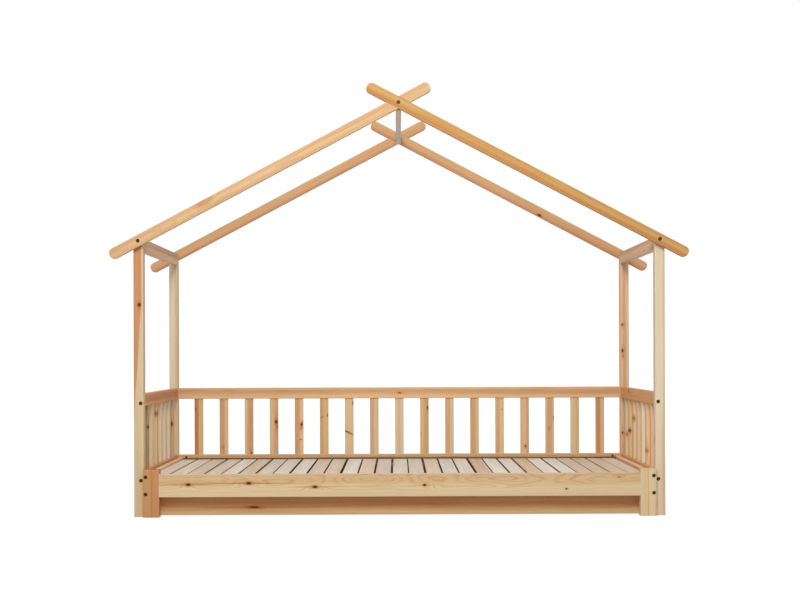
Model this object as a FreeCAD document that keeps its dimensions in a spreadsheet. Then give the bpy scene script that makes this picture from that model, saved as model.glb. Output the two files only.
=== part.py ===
"""House frame bed: four corner posts, two crossed-rafter gables and a low slatted bed.

Frame of the part: +X to the right along the bed, +Y to the back, +Z up, in millimetres.
The origin lies on the floor, in the middle of the bed.  Left is -X and front is -Y.
"""
import FreeCAD, Part
import os
import Sketcher

DRIVING_SIZES = (
    ("inner_length", 2000, "clear length between left and right posts"),
    ("frame_depth", 980, "front face of front posts to back face of back posts"),
    ("post_width", 38, "corner post along X"),
    ("post_depth", 48, "corner post along Y"),
    ("post_height", 1090, "corner post, floor to top"),
    ("post_rounding", 3.5, "radius on the long edges of a post"),
    ("edge_rounding", 2.5, "radius on the long edges of rails, rafters and boards"),
    ("rafter_width", 43, "rafter, across its face"),
    ("rafter_thickness", 20, "rafter, front to back"),
    ("rafter_end_radius", 19, "rounded corners at both ends of a rafter"),
    ("apex_height", 1615, "floor to the bolt where two rafters cross"),
    ("eave_bolt_height", 1079, "floor to the bolt at the foot of a rafter"),
    ("eave_bolt_offset", 17, "inner face of a post to the rafter's bolt"),
    ("peak_overhang", 137.5, "rafter beyond the apex bolt"),
    ("eave_overhang", 123.5, "rafter beyond its eave bolt"),
    ("ridge_thickness", 22, "ridge board along X"),
    ("ridge_height", 54, "ridge board, bottom to top"),
    ("ridge_base", 1586, "floor to the underside of the ridge board"),
    ("eave_beam_thickness", 26, "beam between front and back post tops, along X"),
    ("eave_beam_height", 50, "eave beam, bottom to top"),
    ("end_rail_thickness", 22, "rails of the end panels, along X"),
    ("back_rail_thickness", 25, "rails of the back panel, along Y"),
    ("rail_height", 50, "rails of the end and back panels, bottom to top"),
    ("low_rail_base", 131, "floor to the underside of the low panel rails"),
    ("high_rail_base", 433, "floor to the underside of the high panel rails"),
    ("panel_slat_width", 39, "upright slat, across its face"),
    ("panel_slat_thickness", 14, "upright slat, through the panel"),
    ("panel_slat_rounding", 3, "radius on the long edges of an upright slat"),
    ("mortice_depth", 10, "how far a slat goes into each rail"),
    ("mortice_play", 0.2, "gap round a slat in its mortice"),
    ("back_slats", 17, "upright slats in the back panel"),
    ("back_slat_pitch", 113.7, "from one back slat to the next"),
    ("end_slats", 7, "upright slats in each end panel"),
    ("base_board_height", 90, "front rail and cross-bearers, bottom to top"),
    ("base_board_base", 79, "floor to the underside of the front rail"),
    ("front_rail_thickness", 24, "front rail along Y"),
    ("bearer_thickness", 20, "cross-bearer along X"),
    ("front_overhang", 20, "leg blocks and front rail stand this far before the posts"),
    ("block_height", 186, "leg block, floor to top"),
    ("block_depth", 48, "leg block along Y"),
    ("outer_stave_width", 32, "outer stave of a leg block, along X"),
    ("inner_stave_width", 30, "inner stave of a leg block, along X"),
    ("low_board_thickness", 22, "low front and back boards, along Y"),
    ("low_board_height", 138, "low boards, bottom to top"),
    ("low_board_base", 5, "floor to the underside of the low boards"),
    ("back_board_gap", 13, "low back rail to the low back board"),
    ("bed_slats", 29, "slats of the mattress base"),
    ("bed_slat_width", 60, "mattress slat along X"),
    ("bed_slat_thickness", 17, "mattress slat, bottom to top"),
    ("bed_slat_length", 905, "mattress slat along Y"),
    ("bed_slat_rounding", 2, "radius on the long edges of a mattress slat"),
    ("bed_slat_pitch", 67.5, "from one mattress slat to the next"),
    ("bed_slat_drift", 6, "how far the middle slats lie to the right of the end ones"),
    ("bed_slat_jitter", 1.5, "unevenness of single slats along the bed"),
    ("bed_slat_stray", 4, "unevenness of single slats across the bed"),
    ("bed_slat_shift", 4, "even spacing to where the end slats lie, to the left"),
    ("bed_slat_front_gap", 7, "low front board's front face to the slats' front ends"),
    ("strap_width", 25, "strap under the mattress slats, along Y"),
    ("strap_thickness", 1.2, "strap, bottom to top"),
    ("strap_offset", 300, "middle of the bed to each strap"),
    ("strap_length", 1935, "strap along X"),
    ("bolt_diameter", 6, "shank of a connector bolt"),
    ("bolt_head_diameter", 14, "flat head of a connector bolt"),
    ("bolt_head_height", 3, "flat head, front to back"),
    ("bolt_recess", 5, "depth of the counterbore for a bolt head"),
    ("counterbore_diameter", 15, "counterbore for a bolt head"),
    ("bolt_hole_diameter", 7, "clearance hole for a bolt"),
    ("bolt_tail", 8, "bolt beyond the middle of its barrel nut"),
    ("hex_socket_radius", 2.3, "centre to corner of the hexagon socket"),
    ("hex_socket_depth", 2, "depth of the hexagon socket"),
    ("nut_diameter", 10, "barrel nut"),
    ("nut_length", 14, "barrel nut"),
    ("nut_hole_diameter", 10.4, "hole for a barrel nut"),
    ("nut_thread_diameter", 6.2, "cross hole through a barrel nut"),
    ("nut_setback", 40, "end of a rail to the middle of its barrel nut"),
    ("back_nut_setback", 34, "end of a back rail to the middle of its barrel nut"),
    ("block_nut_setback", 36, "side of a leg block to the middle of its barrel nut"),
    ("board_nut_setback", 35, "end of a low board to the middle of its barrel nut"),
    ("dowel_diameter", 8, "fluted dowel, taken as plain"),
    ("dowel_length", 30, "dowel"),
    ("dowel_hole_diameter", 8.4, "hole for a dowel"),
    ("dowel_hole_length", 32, "hole for a dowel, through both pieces"),
    ("end_bolt_rise", 12, "underside of an end rail to its bolt"),
    ("end_dowel_rise", 38, "underside of an end rail to its dowel"),
    ("back_bolt_rise", 38, "underside of a back rail to its bolt"),
    ("back_dowel_rise", 24, "underside of a back rail to its dowel"),
    ("eave_dowel_rise", 14, "underside of an eave beam to its dowel"),
    ("apex_dowel_rise", 13, "underside of the ridge board to its dowel"),
    ("apex_dowel_shift", 8, "end of the ridge board to the middle of its dowel"),
    ("bearer_bolt_margin", 11.5, "edges of a cross-bearer to its two front bolts"),
    ("bearer_back_rise", 11, "underside of the low back rail to the bolt into a bearer"),
    ("low_block_bolt_height", 45, "floor to the lower bolt from a post into its leg block"),
    ("high_block_bolt_height", 125, "floor to the upper bolt from a post into its leg block"),
    ("board_bolt_height", 108, "floor to the bolt from a bearer into a low board"),
    ("board_dowel_height", 128, "floor to the dowel between a bearer and a low board"),
    ("rail_dowel_spacing", 27, "between the three dowels in one end of the front rail"),
)

LEFT, RIGHT = "-", "+"
FRONT, BACK = "-", "+"
SIDES = (("left", LEFT), ("right", RIGHT))
ENDS = (("front", FRONT), ("back", BACK))
DIRECTIONS = {
    "+X": FreeCAD.Vector(1, 0, 0),
    "-X": FreeCAD.Vector(-1, 0, 0),
    "+Y": FreeCAD.Vector(0, 1, 0),
    "-Y": FreeCAD.Vector(0, -1, 0),
    "+Z": FreeCAD.Vector(0, 0, 1),
    "-Z": FreeCAD.Vector(0, 0, -1),
}

# Places that several pieces share, as expressions on the sheet of sizes.
INNER_X = "Sizes.inner_length / 2"
OUTER_X = f"({INNER_X} + Sizes.post_width)"
HALF_DEPTH = "Sizes.frame_depth / 2"
PANEL_Y = f"({HALF_DEPTH} - Sizes.post_depth)"
GABLE_Y = f"({HALF_DEPTH} + Sizes.rafter_thickness)"
FRONT_Y = f"({HALF_DEPTH} + Sizes.front_overhang)"
BLOCK_BACK_Y = f"({FRONT_Y} - Sizes.block_depth)"
BLOCK_INNER_X = f"({INNER_X} - Sizes.outer_stave_width - Sizes.inner_stave_width)"
BACK_RAIL_Y = f"({HALF_DEPTH} - Sizes.back_rail_thickness)"
BEARER_INNER_X = f"({INNER_X} - Sizes.bearer_thickness)"
BASE_BOARD_TOP = "(Sizes.base_board_base + Sizes.base_board_height)"
LOW_BOARD_TOP = "(Sizes.low_board_base + Sizes.low_board_height)"
EAVE_X = f"({INNER_X} + Sizes.eave_bolt_offset)"
RAFTER_SLOPE = f"atan((Sizes.apex_height - Sizes.eave_bolt_height) / {EAVE_X})"
RAFTER_SPAN = f"sqrt(({EAVE_X}) ^ 2 + (Sizes.apex_height - Sizes.eave_bolt_height) ^ 2)"
END_GAP = f"(2 * {PANEL_Y} - Sizes.end_slats * Sizes.panel_slat_width) / (Sizes.end_slats + 1)"

BOLT_CHAMFER = 1
DOWEL_CHAMFER = 1.5
SOCKET_FACES = 6
HOLE_BEYOND_TIP = 2
NUT_SLOT_WIDTH = 1.2
RAFTER_LAP_WIDTHS = 4

doc = FreeCAD.newDocument("HouseFrameBed")
pieces = {}


def make_sheet():
    """The sheet of driving sizes: a note, a plain number and its alias on each row."""
    sheet = doc.addObject("Spreadsheet::Sheet", "Sizes")
    for row, (alias, value, note) in enumerate(DRIVING_SIZES, start=1):
        sheet.set(f"A{row}", note)
        sheet.set(f"B{row}", str(value))
        sheet.setAlias(f"B{row}", alias)
    doc.recompute()
    return sheet


def bind(item, **sizes):
    """Bind the named properties of an object to expressions on the sheet."""
    for name, expression in sizes.items():
        item.setExpression(name, str(expression))
    return item


def place(item, point, rotation=FreeCAD.Rotation()):
    """Turn an object and bind its base point to three expressions."""
    item.Placement = FreeCAD.Placement(FreeCAD.Vector(), rotation)
    for axis, expression in zip("xyz", point):
        item.setExpression(f"Placement.Base.{axis}", str(expression))
    return item


def facing(direction):
    """The rotation that turns +Z to a named direction."""
    return FreeCAD.Rotation(FreeCAD.Vector(0, 0, 1), DIRECTIONS[direction])


def stepped(point, direction, distance):
    """A point moved by a distance along a named direction."""
    moved = list(point)
    axis = "XYZ".index(direction[1])
    moved[axis] = f"({point[axis]}) {direction[0]} ({distance})"
    return tuple(moved)


def opposite(direction):
    """The named direction that points the other way."""
    return ("-" if direction[0] == "+" else "+") + direction[1]


def rod(name, start, direction, diameter, length):
    """A cylinder from a start point along a named direction."""
    cylinder = doc.addObject("Part::Cylinder", name)
    bind(cylinder, Radius=f"({diameter}) / 2", Height=length)
    return place(cylinder, start, facing(direction))


def block(name, size, centre_x, centre_y, base_z):
    """A box centred on X and Y that stands on base_z."""
    box = doc.addObject("Part::Box", name)
    bind(box, Length=size[0], Width=size[1], Height=size[2])
    return place(box, (f"{centre_x} - ({size[0]}) / 2", f"{centre_y} - ({size[1]}) / 2", base_z))


def edges_along(shape, direction):
    """The numbers of the straight edges that lie along a direction."""
    found = []
    for number, edge in enumerate(shape.Edges, start=1):
        if abs(edge.tangentAt(edge.FirstParameter).dot(direction)) > 0.99:
            found.append(number)
    return found


def bar(name, along, size, centre_x, centre_y, base_z, rounding="edge_rounding"):
    """A box with rounded long edges: a planed length of timber."""
    stock = block(f"{name}_stock", size, centre_x, centre_y, base_z)
    doc.recompute([stock])
    radius = float(sheet.get(rounding))
    rounded = doc.addObject("Part::Fillet", f"{name}_bar")
    rounded.Base = stock
    rounded.Edges = [(edge, radius, radius) for edge in edges_along(stock.Shape, DIRECTIONS[along])]
    return rounded


def joined(name, parts):
    """Touching or crossing solids made one."""
    fused = doc.addObject("Part::MultiFuse", name)
    fused.Shapes = parts
    return fused


def grouped(name, parts):
    """Separate solids kept together."""
    group = doc.addObject("Part::Compound", name)
    group.Links = parts
    return group


def machined(label, stock, cutters):
    """A piece: its stock with every hole, counterbore and mortice cut out of it."""
    if cutters:
        piece = doc.addObject("Part::Cut", f"{label}_cut")
        piece.Base = stock
        piece.Tool = grouped(f"{label}_cutters", cutters)
        stock = piece
    return keep(label, stock)


def keep(label, piece):
    """Record a finished piece under its own label."""
    piece.Label = label
    pieces[label] = piece
    return piece


def bolt_master(name, reach):
    """A connector bolt along +Z: flat head with a hexagon socket, shank and chamfered tip.

    The origin is on the face of the timber, so the head starts below it in its counterbore.
    """
    head_base = "(Sizes.bolt_recess - Sizes.bolt_head_height)"
    tip = f"({reach} + Sizes.bolt_tail)"
    rim = doc.addObject("Part::Cone", f"{name}_rim")
    head_radius = "Sizes.bolt_head_diameter / 2"
    bind(rim, Radius1=f"{head_radius} - {BOLT_CHAMFER}", Radius2=head_radius)
    rim.Height = BOLT_CHAMFER
    place(rim, (0, 0, head_base))
    head = rod(f"{name}_head", (0, 0, f"{head_base} + {BOLT_CHAMFER}"), "+Z", "Sizes.bolt_head_diameter",
               f"Sizes.bolt_head_height - {BOLT_CHAMFER}")
    shank = rod(f"{name}_shank", (0, 0, head_base), "+Z", "Sizes.bolt_diameter",
                f"{tip} - {head_base} - {BOLT_CHAMFER}")
    point = doc.addObject("Part::Cone", f"{name}_point")
    radius = "Sizes.bolt_diameter / 2"
    bind(point, Radius1=radius, Radius2=f"{radius} - {BOLT_CHAMFER}")
    point.Height = BOLT_CHAMFER
    place(point, (0, 0, f"{tip} - {BOLT_CHAMFER}"))
    socket = doc.addObject("Part::Prism", f"{name}_socket")
    socket.Polygon = SOCKET_FACES
    bind(socket, Circumradius="Sizes.hex_socket_radius", Height="Sizes.hex_socket_depth")
    place(socket, (0, 0, head_base))
    bolt = doc.addObject("Part::Cut", name)
    bolt.Base = joined(f"{name}_solid", [rim, head, shank, point])
    bolt.Tool = socket
    return bolt


def nut_master():
    """A barrel nut along +Z, centred, with its thread along +X and a slot in one end."""
    body = rod("nut_body", (0, 0, "-Sizes.nut_length / 2"), "+Z", "Sizes.nut_diameter", "Sizes.nut_length")
    thread = rod("nut_thread", ("-Sizes.nut_diameter", 0, 0), "+X", "Sizes.nut_thread_diameter",
                 "2 * Sizes.nut_diameter")
    slot = block("nut_slot", ("Sizes.nut_diameter", NUT_SLOT_WIDTH, NUT_SLOT_WIDTH), 0, 0,
                 f"Sizes.nut_length / 2 - {NUT_SLOT_WIDTH}")
    nut = doc.addObject("Part::Cut", "nut_master")
    nut.Base = body
    nut.Tool = grouped("nut_cutters", [thread, slot])
    return nut


def dowel_master():
    """A dowel along +Z, centred, with a chamfer at each end."""
    half = "Sizes.dowel_length / 2"
    radius = "Sizes.dowel_diameter / 2"
    body = rod("dowel_body", (0, 0, f"{DOWEL_CHAMFER} - {half}"), "+Z", "Sizes.dowel_diameter",
               f"Sizes.dowel_length - 2 * {DOWEL_CHAMFER}")
    ends = []
    for name, direction in (("dowel_top", "+Z"), ("dowel_bottom", "-Z")):
        cone = doc.addObject("Part::Cone", name)
        bind(cone, Radius1=radius, Radius2=f"{radius} - {DOWEL_CHAMFER} / 2")
        cone.Height = DOWEL_CHAMFER
        base = stepped((0, 0, 0), direction, f"{half} - {DOWEL_CHAMFER}")
        ends.append(place(cone, base, facing(direction)))
    return joined("dowel_master", [body] + ends)


class Fasteners:
    """Every bolt with its barrel nut, and every dowel, with the cutter for its holes."""

    def __init__(self):
        self.bolt_masters = {}
        self.nut = nut_master()
        self.dowel = dowel_master()
        self.bolts = []
        self.nuts = []
        self.dowels = []

    def copy_of(self, master, name, point, rotation):
        """A copy of a fastener at its own place."""
        link = doc.addObject("App::Link", name)
        link.LinkedObject = master
        link.LinkTransform = False
        return place(link, point, rotation)

    def bolt(self, name, face, heading, reach, nut_side, nut_cover):
        """A bolt from a point on a face into a barrel nut; returns the cutter for its holes.

        reach runs from the face to the middle of the nut.  nut_side is the way from there to
        the mouth of the nut's own hole, and nut_cover how far off that mouth is.
        """
        if reach not in self.bolt_masters:
            number = len(self.bolt_masters) + 1
            self.bolt_masters[reach] = bolt_master(f"bolt_master_{number}", reach)
        self.bolts.append(self.copy_of(self.bolt_masters[reach], f"{name}_bolt", face, facing(heading)))
        centre = stepped(face, heading, reach)
        mouth = stepped(centre, nut_side, nut_cover)
        along, across = DIRECTIONS[nut_side], DIRECTIONS[heading]
        turned = FreeCAD.Rotation(across, along.cross(across), along, "ZXY")
        self.nuts.append(self.copy_of(self.nut, f"{name}_nut", centre, turned))
        recess = rod(f"{name}_recess", face, heading, "Sizes.counterbore_diameter", "Sizes.bolt_recess")
        hole = rod(f"{name}_hole", face, heading, "Sizes.bolt_hole_diameter",
                   f"{reach} + Sizes.bolt_tail + {HOLE_BEYOND_TIP}")
        nut_hole = rod(f"{name}_nut_hole", mouth, opposite(nut_side), "Sizes.nut_hole_diameter",
                       f"{nut_cover} + Sizes.nut_length / 2")
        return joined(f"{name}_cutter", [recess, hole, nut_hole])

    def dowel_at(self, name, centre, axis):
        """A dowel centred on a point; returns the cutter for its hole."""
        self.dowels.append(self.copy_of(self.dowel, f"{name}_dowel", centre, facing(axis)))
        start = stepped(centre, opposite(axis), "Sizes.dowel_hole_length / 2")
        return rod(f"{name}_cutter", start, axis, "Sizes.dowel_hole_diameter", "Sizes.dowel_hole_length")

    def keep_groups(self):
        """The three groups of loose hardware."""
        keep("connector_bolts", grouped("all_bolts", self.bolts))
        keep("barrel_nuts", grouped("all_nuts", self.nuts))
        keep("dowels", grouped("all_dowels", self.dowels))


def end_panel_joints(side_name, side, end_name, end):
    """Bolt and dowel at one end of both rails of an end panel: cutters for post and rail."""
    inward = opposite(f"{end}Y")
    x = f"{side}({INNER_X} + Sizes.end_rail_thickness / 2)"
    cutters = {}
    for level, base in (("low", "Sizes.low_rail_base"), ("high", "Sizes.high_rail_base")):
        name = f"{side_name}_{end_name}_{level}_end"
        bolt = hardware.bolt(name, (x, f"{end}({HALF_DEPTH})", f"{base} + Sizes.end_bolt_rise"), inward,
                             "(Sizes.post_depth + Sizes.nut_setback)", f"{side}X",
                             "Sizes.end_rail_thickness / 2")
        peg = hardware.dowel_at(f"{name}_peg", (x, f"{end}{PANEL_Y}", f"{base} + Sizes.end_dowel_rise"), "+Y")
        cutters[level] = [bolt, peg]
    return cutters


def back_panel_joints(side_name, side):
    """Bolt and dowel at one end of both rails of the back panel: cutters for post and rail."""
    y = f"{HALF_DEPTH} - Sizes.back_rail_thickness / 2"
    mouths = {"low": "-Y", "high": "+Y"}
    cutters = {}
    for level, base in (("low", "Sizes.low_rail_base"), ("high", "Sizes.high_rail_base")):
        name = f"{side_name}_{level}_back"
        bolt = hardware.bolt(name, (f"{side}{OUTER_X}", y, f"{base} + Sizes.back_bolt_rise"),
                             opposite(f"{side}X"), "(Sizes.post_width + Sizes.back_nut_setback)",
                             mouths[level], "Sizes.back_rail_thickness / 2")
        peg_centre = (f"{side}({INNER_X})", y, f"{base} + Sizes.back_dowel_rise")
        peg = hardware.dowel_at(f"{name}_peg", peg_centre, "+X")
        cutters[level] = [bolt, peg]
    return cutters


def eave_joint(side_name, side, end_name, end):
    """The bolt through rafter and post into the eave beam, and the beam's dowel."""
    name = f"{side_name}_{end_name}_eave"
    bolt = hardware.bolt(name, (f"{side}{EAVE_X}", f"{end}{GABLE_Y}", "Sizes.eave_bolt_height"),
                         opposite(f"{end}Y"),
                         "(Sizes.rafter_thickness + Sizes.post_depth + Sizes.nut_setback)", f"{side}X",
                         "Sizes.eave_beam_thickness - Sizes.eave_bolt_offset")
    beam_middle = f"{side}({INNER_X} + Sizes.eave_beam_thickness / 2)"
    height = "Sizes.post_height - Sizes.eave_beam_height + Sizes.eave_dowel_rise"
    peg = hardware.dowel_at(f"{name}_peg", (beam_middle, f"{end}{PANEL_Y}", height), "+Y")
    return bolt, peg


def block_joints(side_name, side):
    """Bolts from a leg block into the cross-bearer, and from the post into the block."""
    bearer_middle = f"{side}({INNER_X} - Sizes.bearer_thickness / 2)"
    into_bearer = []
    heights = {
        "low": "Sizes.base_board_base + Sizes.bearer_bolt_margin",
        "high": f"{BASE_BOARD_TOP} - Sizes.bearer_bolt_margin",
    }
    for level, height in heights.items():
        name = f"{side_name}_{level}_block"
        into_bearer.append(hardware.bolt(name, (bearer_middle, f"-{FRONT_Y}", height), "+Y",
                                         "(Sizes.block_depth + Sizes.nut_setback)", opposite(f"{side}X"),
                                         "Sizes.bearer_thickness / 2"))
    into_block = []
    overlap_y = f"-({HALF_DEPTH} + {BLOCK_BACK_Y}) / 2"
    for level in ("low", "high"):
        face = (f"{side}{OUTER_X}", overlap_y, f"Sizes.{level}_block_bolt_height")
        into_block.append(hardware.bolt(f"{side_name}_{level}_post_to_block", face, opposite(f"{side}X"),
                                        "(Sizes.post_width + Sizes.block_nut_setback)", "+Y",
                                        f"({HALF_DEPTH} - {BLOCK_BACK_Y}) / 2"))
    return into_bearer, into_block


def bearer_to_back_rail(side_name, side):
    """The bolt through the low back rail into the end of a cross-bearer."""
    bearer_middle = f"{side}({INNER_X} - Sizes.bearer_thickness / 2)"
    face = (bearer_middle, HALF_DEPTH, "Sizes.low_rail_base + Sizes.bearer_back_rise")
    return hardware.bolt(f"{side_name}_bearer_back", face, "-Y",
                         "(Sizes.back_rail_thickness + Sizes.nut_setback)",
                         opposite(f"{side}X"), "Sizes.bearer_thickness / 2")


def low_board_y(end):
    """The middle of the low front or back board."""
    if end == FRONT:
        return f"-({BLOCK_BACK_Y} - Sizes.low_board_thickness / 2)"
    return f"{BACK_RAIL_Y} - Sizes.back_board_gap - Sizes.low_board_thickness / 2"


def low_board_joints(side_name, side, end_name, end):
    """Bolt and dowel from a cross-bearer into the end of a low board."""
    name = f"{side_name}_{end_name}_board"
    y = low_board_y(end)
    bolt = hardware.bolt(name, (f"{side}({INNER_X})", y, "Sizes.board_bolt_height"), opposite(f"{side}X"),
                         "(Sizes.bearer_thickness + Sizes.board_nut_setback)",
                         opposite(f"{end}Y"), "Sizes.low_board_thickness / 2")
    peg_centre = (f"{side}{BEARER_INNER_X}", y, "Sizes.board_dowel_height")
    return [bolt, hardware.dowel_at(f"{name}_peg", peg_centre, "+X")]


def front_rail_pegs(side_name, side):
    """Three dowels between the front rail's end and its leg block."""
    y = f"-({FRONT_Y} - Sizes.front_rail_thickness / 2)"
    pegs = []
    middle = "Sizes.base_board_base + Sizes.base_board_height / 2"
    for number in (1, 2, 3):
        point = (f"{side}{BLOCK_INNER_X}", y, f"{middle} + {number - 2} * Sizes.rail_dowel_spacing")
        pegs.append(hardware.dowel_at(f"{side_name}_front_rail_peg_{number}", point, "+X"))
    return pegs


def apex_joint(end_name, end):
    """The bolt through both rafters into the ridge board, and the dowel below it."""
    face = (0, f"{end}{GABLE_Y}", "Sizes.apex_height")
    bolt = hardware.bolt(f"{end_name}_apex", face, opposite(f"{end}Y"),
                         "(Sizes.rafter_thickness + Sizes.nut_setback)", "+X", "Sizes.ridge_thickness / 2")
    peg_y = f"{end}({HALF_DEPTH} - Sizes.apex_dowel_shift)"
    peg_centre = (0, peg_y, "Sizes.ridge_base + Sizes.apex_dowel_rise")
    return bolt, hardware.dowel_at(f"{end_name}_apex_peg", peg_centre, "+Y")


def closed_rectangle(sketch, left, right, bottom, top):
    """A constrained rectangle round the sketch's origin, with its four distances bound."""
    corners = [FreeCAD.Vector(x, y, 0) for x, y in ((-1, -1), (1, -1), (1, 1), (-1, 1))]
    for number in range(4):
        sketch.addGeometry(Part.LineSegment(corners[number], corners[(number + 1) % 4]))
    for number in range(4):
        sketch.addConstraint(Sketcher.Constraint("Coincident", number, 2, (number + 1) % 4, 1))
        sketch.addConstraint(Sketcher.Constraint("Vertical" if number % 2 else "Horizontal", number))
    origin = -1
    distances = (("DistanceX", 0, 1, origin, 1, left), ("DistanceX", origin, 1, 1, 1, right),
                 ("DistanceY", 0, 1, origin, 1, bottom), ("DistanceY", origin, 1, 2, 1, top))
    for kind, first, first_end, second, second_end, size in distances:
        place_of = sketch.addConstraint(Sketcher.Constraint(kind, first, first_end, second, second_end, 1.0))
        sketch.setExpression(f"Constraints[{place_of}]", size)


def rafter_stock(name):
    """A rafter lying along +X with its apex bolt at the origin and its outer face on Y = 0.

    Its four end corners are rounded first, then the two long outlines are eased.
    """
    body = doc.addObject("PartDesign::Body", name)
    plane = [item for item in body.Origin.OriginFeatures if item.Role == "XZ_Plane"][0]
    outline = body.newObject("Sketcher::SketchObject", f"{name}_outline")
    outline.AttachmentSupport = [(plane, "")]
    outline.MapMode = "FlatFace"
    half_width = "Sizes.rafter_width / 2"
    below = f"{RAFTER_SPAN} + Sizes.eave_overhang"
    closed_rectangle(outline, "Sizes.peak_overhang", below, half_width, half_width)
    pad = body.newObject("PartDesign::Pad", f"{name}_pad")
    pad.Profile = outline
    bind(pad, Length="Sizes.rafter_thickness")
    pad.Reversed = True
    doc.recompute()
    corners = body.newObject("PartDesign::Fillet", f"{name}_corners")
    corners.Base = (pad, [f"Edge{number}" for number in edges_along(pad.Shape, DIRECTIONS["+Y"])])
    bind(corners, Radius="Sizes.rafter_end_radius")
    doc.recompute()
    eased = body.newObject("PartDesign::Fillet", f"{name}_eased")
    eased.Base = (corners, [f"Edge{number}" for number in edges_along(corners.Shape, DIRECTIONS["+X"])])
    bind(eased, Radius="Sizes.edge_rounding")
    doc.recompute()
    return body


def rafter(label, side, end, over, cutters):
    """One rafter of a gable, lapped half and half with its neighbour at the apex.

    The rafter that goes over keeps its outer half at the crossing, the other its inner half.
    """
    slope = sheet_angle(RAFTER_SLOPE)
    down_right = FreeCAD.Rotation(DIRECTIONS["+Y"], slope)
    down_left = FreeCAD.Rotation(DIRECTIONS["+Y"], 180 - slope)
    half_turn = FreeCAD.Rotation(DIRECTIONS["+Z"], 180)
    own, other = (down_right, down_left) if (side == RIGHT) == (end == FRONT) else (down_left, down_right)
    if end == BACK:
        own, other = half_turn.multiply(own), half_turn.multiply(other)
    apex = (0, f"{end}{GABLE_Y}", "Sizes.apex_height")
    body = place(rafter_stock(f"{label}_body"), apex, own)
    lap = doc.addObject("Part::Box", f"{label}_lap")
    bind(lap, Length=f"{RAFTER_LAP_WIDTHS} * Sizes.rafter_width", Width="Sizes.rafter_thickness / 2",
         Height="Sizes.rafter_width")
    inner_half = "Sizes.rafter_thickness / 2" if over else "0"
    offset = other.multVec(FreeCAD.Vector(-RAFTER_LAP_WIDTHS / 2, 0, -1 / 2))
    width = "Sizes.rafter_width"
    place(lap, (f"{offset.x} * {width}", f"{end}({GABLE_Y} - {inner_half})",
                f"Sizes.apex_height + {offset.z} * {width}"), other)
    return machined(label, body, [lap] + cutters)


def sheet_angle(expression):
    """The value in degrees of an expression on the sheet."""
    probe = doc.addObject("App::FeaturePython", "Probe")
    probe.addProperty("App::PropertyAngle", "Angle")
    probe.setExpression("Angle", expression)
    doc.recompute([probe])
    angle = probe.Angle.Value
    doc.removeObject(probe.Name)
    return angle


def panel_slats(label, count, slat_at):
    """Upright slats in a row, and the cutters for their mortices."""
    low = "Sizes.low_rail_base + Sizes.rail_height - Sizes.mortice_depth"
    height = f"Sizes.high_rail_base + Sizes.mortice_depth - ({low})"
    mortices = []
    for number in range(1, count + 1):
        across, centre_x, centre_y = slat_at(number)
        width, thickness = "Sizes.panel_slat_width", "Sizes.panel_slat_thickness"
        size = (width, thickness, height) if across == "X" else (thickness, width, height)
        name = f"{label}_{number}"
        keep(name, bar(name, "+Z", size, centre_x, centre_y, low, "panel_slat_rounding"))
        play = "2 * Sizes.mortice_play"
        loose = (f"{size[0]} + {play}", f"{size[1]} + {play}", height)
        mortices.append(bar(f"{name}_mortice", "+Z", loose, centre_x, centre_y, low, "panel_slat_rounding"))
    return mortices


def end_panel(side_name, side):
    """One end panel: slats, two rails, and the cutters that its joints leave in the posts."""
    x = f"{side}({INNER_X} + Sizes.end_rail_thickness / 2)"
    pitch = f"({END_GAP} + Sizes.panel_slat_width)"

    def slat_at(number):
        return "Y", x, f"(-{PANEL_Y} - Sizes.panel_slat_width / 2 + {number} * {pitch})"

    mortices = panel_slats(f"{side_name}_end_slat", int(sheet.get("end_slats")), slat_at)
    joints = {end_name: end_panel_joints(side_name, side, end_name, end) for end_name, end in ENDS}
    size = ("Sizes.end_rail_thickness", f"2 * {PANEL_Y}", "Sizes.rail_height")
    for level, base in (("low", "Sizes.low_rail_base"), ("high", "Sizes.high_rail_base")):
        label = f"{side_name}_end_{level}_rail"
        cutters = mortices + joints["front"][level] + joints["back"][level]
        machined(label, bar(label, "+Y", size, x, "0", base), cutters)
    return {end_name: joints[end_name]["low"] + joints[end_name]["high"] for end_name in joints}


def back_panel():
    """The back panel: slats, two rails, and the cutters for the back posts and bearers."""
    y = f"({HALF_DEPTH} - Sizes.back_rail_thickness / 2)"

    def slat_at(number):
        return "X", f"({number} - (Sizes.back_slats + 1) / 2) * Sizes.back_slat_pitch", y

    mortices = panel_slats("back_slat", int(sheet.get("back_slats")), slat_at)
    joints = {side_name: back_panel_joints(side_name, side) for side_name, side in SIDES}
    bearer_bolts = {side_name: bearer_to_back_rail(side_name, side) for side_name, side in SIDES}
    size = ("Sizes.inner_length", "Sizes.back_rail_thickness", "Sizes.rail_height")
    for level, base in (("low", "Sizes.low_rail_base"), ("high", "Sizes.high_rail_base")):
        label = f"back_{level}_rail"
        cutters = mortices + joints["left"][level] + joints["right"][level]
        if level == "low":
            cutters = cutters + list(bearer_bolts.values())
        machined(label, bar(label, "+X", size, "0", y, base), cutters)
    in_posts = {side_name: joints[side_name]["low"] + joints[side_name]["high"] for side_name in joints}
    return in_posts, bearer_bolts


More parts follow.
